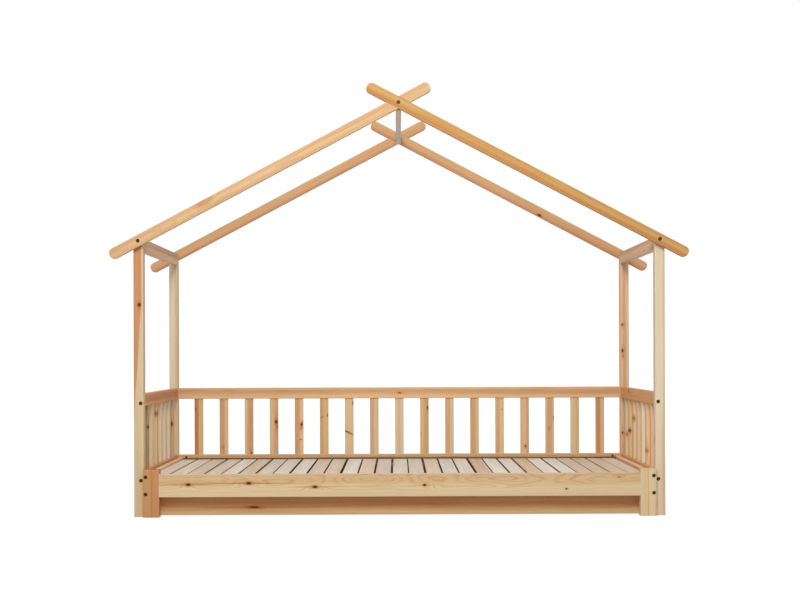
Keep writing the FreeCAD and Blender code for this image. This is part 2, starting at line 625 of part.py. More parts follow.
def roof():
    """Both gables, the ridge board and the eave beams; returns the cutters for the posts."""
    ridge_cutters = []
    eaves = {}
    for end_name, end in ENDS:
        apex_bolt, apex_peg = apex_joint(end_name, end)
        ridge_cutters += [apex_bolt, apex_peg]
        for side_name, side in SIDES:
            eaves[side_name, end_name] = eave_joint(side_name, side, end_name, end)
            over = (side == RIGHT) == (end == FRONT)
            cutters = [eaves[side_name, end_name][0], apex_bolt] + ([] if over else [apex_peg])
            rafter(f"{end_name}_{side_name}_rafter", side, end, over, cutters)
    ridge_size = ("Sizes.ridge_thickness", "Sizes.frame_depth", "Sizes.ridge_height")
    machined("ridge_board", bar("ridge_board", "+Y", ridge_size, "0", "0", "Sizes.ridge_base"), ridge_cutters)
    beam_size = ("Sizes.eave_beam_thickness", f"2 * {PANEL_Y}", "Sizes.eave_beam_height")
    for side_name, side in SIDES:
        label = f"{side_name}_eave_beam"
        x = f"{side}({INNER_X} + Sizes.eave_beam_thickness / 2)"
        stock = bar(label, "+Y", beam_size, x, "0", "Sizes.post_height - Sizes.eave_beam_height")
        machined(label, stock, list(eaves[side_name, "front"]) + list(eaves[side_name, "back"]))
    return eaves


def leg_block(side_name, side, cutters):
    """A leg block: two upright staves glued side by side."""
    y = f"-({FRONT_Y} - Sizes.block_depth / 2)"
    outer_x = f"{side}({INNER_X} - Sizes.outer_stave_width / 2)"
    inner_x = f"{side}({BLOCK_INNER_X} + Sizes.inner_stave_width / 2)"
    staves = []
    for name, width, x in (("outer", "Sizes.outer_stave_width", outer_x),
                           ("inner", "Sizes.inner_stave_width", inner_x)):
        size = (width, "Sizes.block_depth", "Sizes.block_height")
        stave = doc.addObject("Part::Cut", f"{side_name}_{name}_stave")
        stave.Base = bar(f"{side_name}_{name}_block", "+Z", size, x, y, "0", "bed_slat_rounding")
        stave.Tool = grouped(f"{side_name}_{name}_block_cutters", cutters)
        staves.append(stave)
    return keep(f"{side_name}_leg_block", grouped(f"{side_name}_staves", staves))


def bed_base(bearer_back_bolts):
    """Front rail, leg blocks, cross-bearers and low boards; returns the cutters for the front posts."""
    rail_cutters = []
    board_cutters = {"front": [], "back": []}
    in_posts = {}
    for side_name, side in SIDES:
        pegs = front_rail_pegs(side_name, side)
        into_bearer, into_block = block_joints(side_name, side)
        leg_block(side_name, side, pegs + into_bearer + into_block)
        rail_cutters += pegs
        in_posts[side_name] = into_block
        bearer_cutters = into_bearer + [bearer_back_bolts[side_name]]
        for end_name, end in ENDS:
            joints = low_board_joints(side_name, side, end_name, end)
            board_cutters[end_name] += joints
            bearer_cutters += joints
        size = ("Sizes.bearer_thickness", f"{BLOCK_BACK_Y} + {BACK_RAIL_Y}", "Sizes.base_board_height")
        x = f"{side}({INNER_X} - Sizes.bearer_thickness / 2)"
        y = f"({BACK_RAIL_Y} - {BLOCK_BACK_Y}) / 2"
        label = f"{side_name}_cross_bearer"
        machined(label, bar(label, "+Y", size, x, y, "Sizes.base_board_base"), bearer_cutters)
    size = (f"2 * {BLOCK_INNER_X}", "Sizes.front_rail_thickness", "Sizes.base_board_height")
    y = f"-({FRONT_Y} - Sizes.front_rail_thickness / 2)"
    machined("front_rail", bar("front_rail", "+X", size, "0", y, "Sizes.base_board_base"), rail_cutters)
    size = (f"2 * {BEARER_INNER_X}", "Sizes.low_board_thickness", "Sizes.low_board_height")
    for end_name, end in ENDS:
        label = f"{end_name}_low_board"
        stock = bar(label, "+X", size, "0", low_board_y(end), "Sizes.low_board_base", "bed_slat_rounding")
        machined(label, stock, board_cutters[end_name])
    return in_posts


def mattress_base():
    """The loose roll of slats on two straps that lies on the low boards."""
    last = int(sheet.get("bed_slats")) - 1
    jitter_turn, stray_turn = 137, 101
    y = f"(Sizes.bed_slat_front_gap + Sizes.bed_slat_length / 2 - {BLOCK_BACK_Y})"
    size = ("Sizes.bed_slat_width", "Sizes.bed_slat_length", "Sizes.bed_slat_thickness")
    slats = []
    for number in range(last + 1):
        drift = f"Sizes.bed_slat_drift * sin(180 * {number} / {last})"
        jitter = f"Sizes.bed_slat_jitter * sin({number * jitter_turn % 360})"
        stray = f"Sizes.bed_slat_stray * sin({number * stray_turn % 360})"
        x = f"(({number} - {last} / 2) * Sizes.bed_slat_pitch - Sizes.bed_slat_shift + {drift} + {jitter})"
        stock = (f"bed_slat_{number + 1}", "+Y", size, x, f"({y} + {stray})", LOW_BOARD_TOP)
        slats.append(bar(*stock, "bed_slat_rounding"))
    keep("bed_slats", grouped("slat_roll", slats))
    straps = []
    for end_name, end in ENDS:
        size = ("Sizes.strap_length", "Sizes.strap_width", "Sizes.strap_thickness")
        straps.append(block(f"{end_name}_strap", size, "-Sizes.bed_slat_shift",
                            f"{y} {end} Sizes.strap_offset", f"{LOW_BOARD_TOP} - Sizes.strap_thickness"))
    keep("slat_straps", grouped("strap_pair", straps))


def corner_post(side_name, side, end_name, end, cutters):
    """One corner post, from the floor to the eave."""
    label = f"{end_name}_{side_name}_post"
    size = ("Sizes.post_width", "Sizes.post_depth", "Sizes.post_height")
    x = f"{side}({INNER_X} + Sizes.post_width / 2)"
    y = f"{end}({HALF_DEPTH} - Sizes.post_depth / 2)"
    return machined(label, bar(label, "+Z", size, x, y, "0", "post_rounding"), cutters)


def build_bed():
    """Every piece of the bed, from the panels out to the posts that carry them."""
    in_back_posts, bearer_back_bolts = back_panel()
    in_end_posts = {side_name: end_panel(side_name, side) for side_name, side in SIDES}
    eaves = roof()
    in_front_posts = bed_base(bearer_back_bolts)
    for side_name, side in SIDES:
        for end_name, end in ENDS:
            own = in_front_posts if end == FRONT else in_back_posts
            cutters = list(eaves[side_name, end_name]) + in_end_posts[side_name][end_name] + own[side_name]
            corner_post(side_name, side, end_name, end, cutters)
    mattress_base()
    hardware.keep_groups()


def check_document():
    """Stop if any object failed, or any piece has no valid shape."""
    for item in doc.Objects:
        if "Invalid" in item.State or "Error" in item.State:
            raise RuntimeError(f"{item.Label} did not recompute: {item.State}")
    for label, piece in pieces.items():
        if piece.Shape.isNull() or not piece.Shape.isValid():
            raise RuntimeError(f"{label} has no valid shape")
        if not piece.Shape.Solids:
            raise RuntimeError(f"{label} holds no solid")


def write_steps():
    """One file for each piece, named after its label."""
    os.makedirs("parts", exist_ok=True)
    for label, piece in pieces.items():
        piece.Shape.exportStep(f"parts/{label}.step")


sheet = make_sheet()
hardware = Fasteners()
build_bed()
doc.recompute()
check_document()
write_steps()
print(len(pieces), "pieces written")
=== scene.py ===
"""Looks of a child's house frame bed in natural pine.

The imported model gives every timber, bolt and slat its shape and place.  This script gives each
timber its own piece of pine, with rings, heartwood, knots and eased edges, finishes the dark
hardware, models the stapled webbing under the mattress slats, and sets a plain pale studio.
All lengths are in metres.
"""

import logging
import math
import zlib
from collections.abc import Callable
from dataclasses import dataclass, field
from enum import Enum
from functools import cache

import bmesh
import bpy
from mathutils import Matrix, Vector


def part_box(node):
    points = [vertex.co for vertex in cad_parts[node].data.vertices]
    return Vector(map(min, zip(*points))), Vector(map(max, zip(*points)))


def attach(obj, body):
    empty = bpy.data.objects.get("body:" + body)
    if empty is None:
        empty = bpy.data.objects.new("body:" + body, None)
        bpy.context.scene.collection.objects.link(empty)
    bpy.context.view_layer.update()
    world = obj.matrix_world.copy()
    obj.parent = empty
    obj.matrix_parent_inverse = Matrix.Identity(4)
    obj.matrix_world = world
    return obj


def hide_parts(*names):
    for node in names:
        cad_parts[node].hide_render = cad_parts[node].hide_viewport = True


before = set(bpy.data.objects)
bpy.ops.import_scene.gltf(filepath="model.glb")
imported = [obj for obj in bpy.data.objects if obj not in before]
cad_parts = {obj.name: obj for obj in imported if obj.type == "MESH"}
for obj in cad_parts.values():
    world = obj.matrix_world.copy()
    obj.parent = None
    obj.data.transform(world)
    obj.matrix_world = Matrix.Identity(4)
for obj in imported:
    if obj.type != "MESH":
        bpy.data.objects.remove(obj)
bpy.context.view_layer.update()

LOG = logging.getLogger("house_frame_bed")
FLOAT, VECTOR, COLOR = "NodeSocketFloat", "NodeSocketVector", "NodeSocketColor"
MIX_COLOUR_INPUTS = (0, 6, 7)
MIX_COLOUR_OUTPUT = 2
ORIGIN = (0.0, 0.0, 0.0)
MIDDLE = (0.5, 0.5, 0.5)
ONES = (1.0, 1.0, 1.0)
WHITE = (1.0, 1.0, 1.0, 1.0)
ALONG_BED = (1.0, 0.0, 0.0)
ACROSS_BED = (0.0, 1.0, 0.0)
FACING = 0.9
BEVEL_SEGMENTS = 2
SMOOTH_ANGLE = math.radians(40)
SEED_COUNT = 9973
SEED_STEP = 83.0
Triple = tuple[float, float, float]
Colour = tuple[float, float, float, float]
Source = bpy.types.NodeSocket | float | tuple[float, ...]


def rgb(red: float, green: float, blue: float) -> Colour:
    """Turns a colour as a screen shows it into the shader's linear one, by the sRGB curve.

    Args:
        red: The red channel, 0 to 255.
        green: The green channel.
        blue: The blue channel.

    Returns:
        The linear colour, fully opaque.
    """
    shown = [channel / 255 for channel in (red, green, blue)]
    linear = [((c + 0.055) / 1.055) ** 2.4 if c > 0.04 else c / 12.92 for c in shown]
    return (*linear, 1.0)


class Tint(Enum):
    """Pine's own colours, from raw slats to glue lines and knots, as a screen shows them in plain light, and
    two darker tints that stand for painted shade.
    """

    CHALK = (235, 231, 227)
    BONE = (228, 219, 206)
    CREAM = (234, 216, 190)
    LINEN = (225, 207, 181)
    ASH = (222, 211, 200)
    MIST = (230, 218, 206)
    LILAC = (238, 232, 230)
    SAND = (213, 191, 156)
    OAT = (222, 201, 164)
    STRAW = (222, 196, 154)
    BISCUIT = (225, 194, 147)
    WHEAT = (212, 182, 141)
    PEACH = (236, 197, 158)
    HONEY = (222, 176, 120)
    SESAME = (219, 187, 130)
    FAWN = (211, 171, 128)
    ROSE = (214, 172, 136)
    BRASS = (200, 161, 102)
    APRICOT = (226, 164, 108)
    CARAMEL = (196, 148, 100)
    AMBER = (206, 158, 106)
    TAWNY = (214, 158, 111)
    CLAY = (204, 150, 112)
    GINGER = (201, 144, 101)
    CINNAMON = (196, 142, 88)
    RUST = (196, 138, 95)
    # A tint used only as painted shade: the post's shadow on the first slat of the left end.
    DRAB = (168, 136, 88)
    # A dark tint used only as painted shade, on the back low rail and on the sawn sides of the mattress
    # slats.
    PEAT = (120, 92, 68)
    UMBER = (120, 78, 46)
    BARK = (92, 44, 18)

    @property
    def colour(self) -> Colour:
        """The tint as the shader's linear colour."""
        return rgb(*self.value)


class Stain(Enum):
    """What a mark multiplies the colour under it by."""

    PALE_STREAK = (1.07, 1.06, 1.04, 1.0)
    DARK_STREAK = (0.86, 0.77, 0.64, 1.0)
    THIN_STREAK = (0.86, 0.76, 0.63, 1.0)
    LATEWOOD = (0.64, 0.38, 0.18, 1.0)
    FIBRE = (0.80, 0.72, 0.62, 1.0)
    KNOT_HALO = (0.66, 0.35, 0.15, 1.0)
    END_GRAIN = (0.78, 0.66, 0.52, 1.0)
    RAW_SHADE = (0.84, 0.82, 0.80, 1.0)
    GRIME = (0.70, 0.66, 0.60, 1.0)


class Grain(Enum):
    """Noise in the wood: cells per metre along the grain, across the face and through it, and detail."""

    WAVER = ((5.0, 26.0, 26.0), 2.0)
    BROAD = ((1.3, 48.0, 48.0), 2.0)
    FINE = ((7.0, 300.0, 300.0), 2.0)
    FIBRE = ((45.0, 2400.0, 2400.0), 1.0)


class Wiring:
    """Adds and joins the shader nodes of one node tree."""

    def __init__(self, tree: bpy.types.NodeTree) -> None:
        """Takes the tree that the nodes go into."""
        self.tree = tree

    def feed(self, socket: bpy.types.NodeSocket, source: Source) -> None:
        """Links an output to an input, or sets the input's own value.

        Args:
            socket: The input.
            source: The output to link to it, or a plain value.
        """
        if isinstance(source, bpy.types.NodeSocket):
            self.tree.links.new(source, socket)
        else:
            socket.default_value = source

    def add(self, kind: str, *sources: Source, **settings: object) -> bpy.types.Node:
        """Adds a node.

        Args:
            kind: The node's Blender type name.
            sources: What its first inputs take, in their order.
            settings: Properties to set on it.

        Returns:
            The new node.
        """
        node = self.tree.nodes.new(kind)
        for name, value in settings.items():
            setattr(node, name, value)
        for socket, source in zip(node.inputs, sources):
            self.feed(socket, source)
        return node

    def place(self, group: bpy.types.NodeTree, **values: Source) -> bpy.types.Node:
        """Places a node group.

        Args:
            group: The node group's tree.
            values: What its inputs take, with an underscore for each space in an input's name.

        Returns:
            The group node.
        """
        node = self.add("ShaderNodeGroup", node_tree=group)
        for name, value in values.items():
            self.feed(node.inputs[name.replace("_", " ")], value)
        return node

    def here(self) -> bpy.types.NodeSocket:
        """Returns the point in the object's own coordinates."""
        return self.add("ShaderNodeTexCoord").outputs["Object"]

    def math(self, operation: str, *terms: Source) -> bpy.types.NodeSocket:
        """Returns what a Math node makes of the terms."""
        return self.add("ShaderNodeMath", *terms, operation=operation).outputs[0]

    def vector(self, operation: str, *terms: Source) -> bpy.types.NodeSocket:
        """Returns the vector or the single value that a Vector Math node makes of the terms."""
        result = "Value" if operation in ("LENGTH", "DOT_PRODUCT") else "Vector"
        return self.add("ShaderNodeVectorMath", *terms, operation=operation).outputs[result]

    def split(self, vector: Source) -> tuple[bpy.types.NodeSocket, ...]:
        """Returns a vector's three components."""
        return tuple(self.add("ShaderNodeSeparateXYZ", vector).outputs)

    def join(self, *parts: Source) -> bpy.types.NodeSocket:
        """Returns the vector of three components."""
        return self.add("ShaderNodeCombineXYZ", *parts).outputs[0]

    def ease(self, value: Source, low: Source, high: Source) -> bpy.types.NodeSocket:
        """Returns a smooth step, 0 below low and 1 above high."""
        return self.add("ShaderNodeMapRange", value, low, high, interpolation_type="SMOOTHSTEP").outputs[0]

    def fade(self, value: Source, low: Source, high: Source) -> bpy.types.NodeSocket:
        """Returns a smooth step down, 1 below low and 0 above high."""
        return self.math("SUBTRACT", 1.0, self.ease(value, low, high))

    def mix(self, factor: Source, first: Source, second: Source, mode: str = "MIX") -> bpy.types.NodeSocket:
        """Mixes two colours.

        Args:
            factor: How much the second counts, 0 to 1.
            first: The colour that is mixed into.
            second: The colour that is mixed in.
            mode: One of the Mix node's blend types.

        Returns:
            The mixed colour.
        """
        node = self.add("ShaderNodeMix", data_type="RGBA", blend_type=mode)
        for index, source in zip(MIX_COLOUR_INPUTS, (factor, first, second)):
            self.feed(node.inputs[index], source)
        return node.outputs[MIX_COLOUR_OUTPUT]

    def stain(self, colour: Source, factor: Source, stain: Stain) -> bpy.types.NodeSocket:
        """Returns a colour that a stain darkens as far as the factor says."""
        return self.mix(factor, colour, stain.value, "MULTIPLY")

    def noise(self, point: Source, detail: float, colour: bool = False) -> bpy.types.NodeSocket:
        """Adds noise with one cell per unit.

        Args:
            point: Where it is read.
            detail: How many finer layers it has.
            colour: Whether three values are wanted in place of one.

        Returns:
            The value, or the colour of three values.
        """
        node = self.add("ShaderNodeTexNoise")
        for name, source in (("Vector", point), ("Scale", 1.0), ("Detail", detail)):
            self.feed(node.inputs[name], source)
        return node.outputs[1 if colour else 0]

    def stretched_noise(
        self, point: Source, cells: Triple, detail: float, shift: Source
    ) -> bpy.types.NodeSocket:
        """Adds noise whose cells per metre differ along the three axes.

        Args:
            point: Where it is read.
            cells: Cells per metre along each axis.
            detail: How many finer layers it has.
            shift: How far the pattern is moved along every axis, in cells.

        Returns:
            The value.
        """
        scaled = self.vector("MULTIPLY_ADD", point, cells, self.join(shift, shift, shift))
        return self.noise(scaled, detail)

    def random(self, number: Source) -> bpy.types.NodeSocket:
        """Draws a value that is always the same for the same whole number.

        Args:
            number: The whole number.

        Returns:
            A value from 0 to 1.
        """
        node = self.add("ShaderNodeTexWhiteNoise", noise_dimensions="1D")
        self.feed(node.inputs["W"], number)
        return node.outputs[0]


class Group(Wiring):
    """A shader node group with named inputs and outputs."""

    def __init__(self, name: str, inputs: dict[str, Source], outputs: dict[str, str]) -> None:
        """Makes the group's sockets.

        Args:
            name: The group's name.
            inputs: Each input's name and default: a number, a vector of 3 or a colour of 4.
            outputs: Each output's name and socket type.
        """
        super().__init__(bpy.data.node_groups.new(name, "ShaderNodeTree"))
        for label, default in inputs.items():
            kind = FLOAT if isinstance(default, float) else {3: VECTOR, 4: COLOR}[len(default)]
            socket = self.tree.interface.new_socket(label, in_out="INPUT", socket_type=kind)
            socket.default_value = default
        for label, kind in outputs.items():
            self.tree.interface.new_socket(label, in_out="OUTPUT", socket_type=kind)
        self.given = self.add("NodeGroupInput").outputs
        self.result = self.add("NodeGroupOutput").inputs

    def finish(self, **results: Source) -> bpy.types.NodeTree:
        """Feeds the group's outputs.

        Args:
            results: What each output takes.

        Returns:
            The group's tree.
        """
        for name, source in results.items():
            self.feed(self.result[name], source)
        return self.tree


class Surface(Wiring):
    """The wiring of a new material round its Principled shader."""

    def __init__(self, name: str) -> None:
        """Makes a named material and keeps its shader at hand."""
        self.material = bpy.data.materials.new(name)
        self.material.use_nodes = True
        super().__init__(self.material.node_tree)
        self.shader = self.tree.nodes["Principled BSDF"]

    def paint(self, **values: Source) -> None:
        """Feeds the shader's inputs, with an underscore for each space in an input's name."""
        for name, value in values.items():
            self.feed(self.shader.inputs[name.replace("_", " ")], value)

    def emboss(self, height: Source, distance: float, strength: float = 1.0) -> None:
        """Gives the surface relief.

        Args:
            height: The relief, from 0 to 1.
            distance: How deep a height of 1 is.
            strength: How much of it shows.
        """
        bump = self.add("ShaderNodeBump")
        for name, source in (("Strength", strength), ("Distance", distance), ("Height", height)):
            self.feed(bump.inputs[name], source)
        self.paint(Normal=bump.outputs[0])


@cache
def knot_group() -> bpy.types.NodeTree:
    """One branch cut through: dark core, red halo, resin streak and the bend of the rings round it.

    Returns:
        The group's tree.
    """
    core_rim = (0.65, 1.15)
    halo_shape = (0.4, 0.55, 0.55)
    halo_rim = (0.3, 1.25)
    streak_shape = (0.0, 1.3, 1.3)
    streak_power = 0.6
    bend_shape = (0.16, 0.4, 0.4)
    bend_height = 1.8
    g = Group(
        "pine_knot",
        {"Point": ORIGIN, "Place": ORIGIN, "Reach": ONES, "Lean": 0.0, "Tail": 0.05, "Radius": 0.003,
         "Dark": 1.0, "Glow": 1.0, "Core": 0.0, "Halo": 0.0, "Bend": 0.0},
        {"Core": FLOAT, "Halo": FLOAT, "Bend": FLOAT},
    )
    given = g.given
    along, across, deep = g.split(g.vector("SUBTRACT", given["Point"], given["Place"]))
    leaned = g.math("SUBTRACT", along, g.math("MULTIPLY", across, given["Lean"]))
    scaled = g.vector("MULTIPLY", g.join(leaned, across, deep), given["Reach"])
    core = g.fade(g.vector("LENGTH", scaled), *core_rim)
    glow = g.fade(g.vector("LENGTH", g.vector("MULTIPLY", scaled, halo_shape)), *halo_rim)
    taper = g.math("SUBTRACT", 1.0, g.math("DIVIDE", g.math("ABSOLUTE", along), given["Tail"]))
    beside = g.vector("LENGTH", g.vector("MULTIPLY", scaled, streak_shape))
    streak = g.math("MAXIMUM", g.math("SUBTRACT", taper, beside), 0.0)
    halo = g.math("MAXIMUM", glow, g.math("POWER", streak, streak_power))
    away = g.vector("LENGTH", g.vector("MULTIPLY", scaled, bend_shape))
    fall = g.math("ADD", 1.0, g.math("MULTIPLY", away, away))
    bend = g.math("DIVIDE", g.math("MULTIPLY", given["Radius"], bend_height), g.math("MULTIPLY", fall, fall))
    return g.finish(
        Core=g.math("MAXIMUM", g.math("MULTIPLY", core, given["Dark"]), given["Core"]),
        Halo=g.math("MAXIMUM", g.math("MULTIPLY", halo, given["Glow"]), given["Halo"]),
        Bend=g.math("ADD", bend, given["Bend"]),
    )


@cache
def ring_group() -> bpy.types.NodeTree:
    """Growth rings round a pith that wanders along the piece, 1 on the dark latewood lines.

    Returns:
        The group's tree.
    """
    wander_pace = 1.4
    wander_detail = 2.0
    wander_reach = (0.0, 0.035, 0.035)
    across_grain = (0.0, 1.0, 1.0)
    waver_depth = 0.009
    faintest = 0.4
    darkening = (0.45, 0.93)
    ring_end = (0.92, 1.0)
    g = Group(
        "pine_rings",
        {"Point": ORIGIN, "Pith": ORIGIN, "Drift": ORIGIN, "Pitch": 0.004, "Bend": 0.0, "Seed": 0.0},
        {"Latewood": FLOAT},
    )
    point, seed = g.given["Point"], g.given["Seed"]
    along = g.split(point)[0]
    paced = g.join(g.math("MULTIPLY_ADD", along, wander_pace, seed), seed, 0.0)
    slow = g.noise(paced, wander_detail, colour=True)
    wander = g.vector("MULTIPLY", g.vector("SUBTRACT", slow, MIDDLE), wander_reach)
    drift = g.vector("MULTIPLY_ADD", g.join(along, along, along), g.given["Drift"], g.given["Pith"])
    spread = g.vector("SUBTRACT", g.vector("SUBTRACT", point, drift), wander)
    radius = g.vector("LENGTH", g.vector("MULTIPLY", spread, across_grain))
    waver = g.math("SUBTRACT", g.stretched_noise(point, *Grain.WAVER.value, seed), 0.5)
    bent = g.math("ADD", g.math("MULTIPLY_ADD", waver, waver_depth, radius), g.given["Bend"])
    turns = g.math("ADD", g.math("DIVIDE", bent, g.given["Pitch"]), seed)
    part = g.math("FRACT", turns)
    weight = g.math("MULTIPLY_ADD", g.random(g.math("FLOOR", turns)), 1.0 - faintest, faintest)
    line = g.math("MULTIPLY", g.ease(part, *darkening), g.fade(part, *ring_end))
    return g.finish(Latewood=g.math("MULTIPLY", line, weight))


@cache
def edge_group() -> bpy.types.NodeTree:
    """How near a point on a squared timber is to an edge, 1 on the eased arris and 0 on the faces.

    Returns:
        The group's tree.
    """
    g = Group("eased_edge", {"Point": ORIGIN, "Half Size": ONES, "Reach": 0.003}, {"Edge": FLOAT})
    gaps = g.split(g.vector("SUBTRACT", g.given["Half Size"], g.vector("ABSOLUTE", g.given["Point"])))
    least = g.math("MINIMUM", gaps[0], gaps[1])
    most = g.math("MAXIMUM", gaps[0], gaps[1])
    middle = g.math("MAXIMUM", least, g.math("MINIMUM", most, gaps[2]))
    return g.finish(Edge=g.fade(middle, 0.0, g.given["Reach"]))


@cache
def heart_group() -> bpy.types.NodeTree:
    """The strip of heartwood across a face, painted shade on some timbers, 1 inside it, with borders that
    sway and climb.

    Returns:
        The group's tree.
    """
    sway = 0.014
    g = Group(
        "pine_heart",
        {"Point": ORIGIN, "Sway": 0.5, "Low": -1.0, "High": 1.0, "Slope": 0.0, "Tilt": 0.0, "Cap": 1.0,
         "Softness": 0.003},
        {"Heart": FLOAT},
    )
    given = g.given
    along, across, deep = g.split(given["Point"])
    slanted = g.math("MULTIPLY_ADD", deep, given["Tilt"], across)
    swayed = g.math("MULTIPLY_ADD", g.math("SUBTRACT", given["Sway"], 0.5), sway, slanted)
    climbed = g.math("MULTIPLY_ADD", along, given["Slope"], given["High"])
    low, high, soft = given["Low"], g.math("MINIMUM", climbed, given["Cap"]), given["Softness"]
    entered = g.ease(swayed, g.math("SUBTRACT", low, soft), g.math("ADD", low, soft))
    not_left = g.fade(swayed, g.math("SUBTRACT", high, soft), g.math("ADD", high, soft))
    return g.finish(Heart=g.math("MULTIPLY", entered, not_left))


@cache
def pine_group() -> bpy.types.NodeTree:
    """Planed pine: sapwood and heartwood, broad and fine streaks, rings, knots, worn edges with a painted
    highlight, and end grain.

    Returns:
        The group's tree.
    """
    broad_step = (0.3, 0.72)
    fine_step = (0.42, 0.78)
    fibre_stain = 0.28
    edge_wear_and_highlight = 0.25
    worn_lit_edge = (1.0, 0.92, 0.80, 1.0)
    face_roughness = 0.44
    fibre_roughness = 0.16
    late_roughness = -0.08
    knot_roughness = 0.3
    end_roughness = 0.2
    late_height = 0.35
    fibre_height = 0.5
    knot_height = 0.5
    g = Group(
        "planed_pine",
        {"Point": ORIGIN, "Half Size": ONES, "End": 0.0, "Seed": 0.0, "Pith": ORIGIN, "Drift": ORIGIN,
         "Pitch": 0.004, "Sapwood": Tint.STRAW.colour, "Heartwood": Tint.AMBER.colour, "Heart Low": -1.0,
         "Heart High": 1.0, "Heart Slope": 0.0, "Heart Tilt": 0.0, "Heart Cap": 1.0, "Softness": 0.003,
         "Figure": 0.4, "Streaks": 0.5, "Core": 0.0, "Halo": 0.0, "Bend": 0.0},
        {"Color": COLOR, "Roughness": FLOAT, "Height": FLOAT},
    )
    given = g.given
    point, seed = given["Point"], given["Seed"]
    broad, fine, fibre = (
        g.stretched_noise(point, *grain.value, seed) for grain in (Grain.BROAD, Grain.FINE, Grain.FIBRE)
    )
    rings = g.place(ring_group(), Point=point, Pith=given["Pith"], Drift=given["Drift"],
                    Pitch=given["Pitch"], Bend=given["Bend"], Seed=seed)
    late = rings.outputs["Latewood"]
    heart = g.place(heart_group(), Point=point, Sway=broad, Low=given["Heart Low"], High=given["Heart High"],
                    Slope=given["Heart Slope"], Tilt=given["Heart Tilt"], Cap=given["Heart Cap"],
                    Softness=given["Softness"])
    colour = g.mix(heart.outputs["Heart"], given["Sapwood"], given["Heartwood"])
    streak = g.mix(g.ease(broad, *broad_step), Stain.PALE_STREAK.value, Stain.DARK_STREAK.value)
    colour = g.mix(given["Streaks"], colour, streak, "MULTIPLY")
    thin = g.math("MULTIPLY", g.ease(fine, *fine_step), given["Streaks"])
    colour = g.stain(colour, thin, Stain.THIN_STREAK)
    colour = g.stain(colour, g.math("MULTIPLY", late, given["Figure"]), Stain.LATEWOOD)
    colour = g.stain(colour, g.math("MULTIPLY", fibre, fibre_stain), Stain.FIBRE)
    colour = g.stain(colour, given["Halo"], Stain.KNOT_HALO)
    colour = g.mix(given["Core"], colour, Tint.BARK.colour)
    # Lighter arrises: partly wear, partly a painted highlight along the eased edges.
    edge = g.place(edge_group(), Point=point, Half_Size=given["Half Size"]).outputs["Edge"]
    worn = g.math("MULTIPLY", edge, g.math("MULTIPLY", fine, edge_wear_and_highlight))
    colour = g.mix(worn, colour, worn_lit_edge)
    colour = g.stain(colour, given["End"], Stain.END_GRAIN)
    rough = g.math("MULTIPLY_ADD", fibre, fibre_roughness, face_roughness)
    rough = g.math("MULTIPLY_ADD", late, late_roughness, rough)
    rough = g.math("MULTIPLY_ADD", given["Core"], knot_roughness, rough)
    rough = g.math("MULTIPLY_ADD", given["End"], end_roughness, rough)
    height = g.math("MULTIPLY_ADD", late, late_height, g.math("MULTIPLY", fibre, fibre_height))
    height = g.math("MULTIPLY_ADD", given["Core"], knot_height, height)
    return g.finish(Color=colour, Roughness=rough, Height=height)


@cache
def wear_group() -> bpy.types.NodeTree:
    """Handling wear on small metal parts: where the dark coating is rubbed thin, and where grime sits.

    Returns:
        The group's tree.
    """
    patch_cells = (420.0, 420.0, 420.0)
    patch_step = (0.5, 0.72)
    speck_cells = (1600.0, 1600.0, 1600.0)
    speck_step = (0.4, 0.7)
    g = Group("rubbed_metal", {"Point": ORIGIN, "Amount": 0.3}, {"Wear": FLOAT, "Grime": FLOAT})
    patch = g.stretched_noise(g.given["Point"], patch_cells, detail=3.0, shift=3.0)
    speck = g.stretched_noise(g.given["Point"], speck_cells, detail=2.0, shift=7.0)
    wear = g.math("MULTIPLY", g.ease(patch, *patch_step), g.given["Amount"])
    return g.finish(Wear=wear, Grime=g.ease(speck, *speck_step))


class Run(Enum):
    """How a timber lies: the directions along its grain, across its face and through it."""

    UPRIGHT = ((0, 0, 1), (1, 0, 0), (0, 1, 0))
    LENGTHWISE = ((1, 0, 0), (0, 0, 1), (0, -1, 0))
    CROSSWISE = ((0, 1, 0), (0, 0, 1), (1, 0, 0))
    UPRIGHT_AT_END = ((0, 0, 1), (0, 1, 0), (-1, 0, 0))
    SLATWISE = ((0, 1, 0), (1, 0, 0), (0, 0, -1))


class Through(Enum):
    """The way that a branch runs through a timber, as what its radius counts for on the three axes."""

    FACE = (1.0, 1.0, 0.0)
    EDGE = (1.0, 0.0, 1.0)


@dataclass(frozen=True)
class Lie:
    """Where a timber lies: its middle, its three directions and its half size along them."""

    middle: Vector
    axes: Matrix
    half: Vector

    @classmethod
    def of(cls, node: str, run: Run) -> "Lie":
        """Reads a squared timber's place from its CAD node.

        Args:
            node: The CAD node.
            run: How the timber lies.

        Returns:
            The timber's lie.
        """
        low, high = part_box(node)
        axes = Matrix(run.value)
        size = axes @ ((high - low) / 2)
        return cls((low + high) / 2, axes, Vector(abs(c) for c in size))

    def sloped(self, pitch: float, half_length: float, half_depth: float) -> "Lie":
        """Returns the lie of a timber that climbs by an angle in the plane of its face."""
        half = Vector((half_length, half_depth, self.half[2]))
        return Lie(self.middle, self.axes @ Matrix.Rotation(pitch, 3, "Y"), half)

    def mapped(self, wiring: Wiring) -> tuple[bpy.types.NodeSocket, bpy.types.NodeSocket]:
        """Turns the object's own coordinates to the timber's.

        Args:
            wiring: The material's wiring.

        Returns:
            The point in the timber's axes, and how much the surface is end grain.
        """
        end_grain = (0.8, 0.98)
        here = wiring.add("ShaderNodeTexCoord")
        turn = wiring.add("ShaderNodeMapping")
        turn.inputs["Rotation"].default_value = self.axes.to_euler()
        turn.inputs["Location"].default_value = -(self.axes @ self.middle)
        wiring.feed(turn.inputs["Vector"], here.outputs["Object"])
        facing = wiring.vector("DOT_PRODUCT", here.outputs["Normal"], tuple(self.axes[0]))
        return turn.outputs[0], wiring.ease(wiring.math("ABSOLUTE", facing), *end_grain)


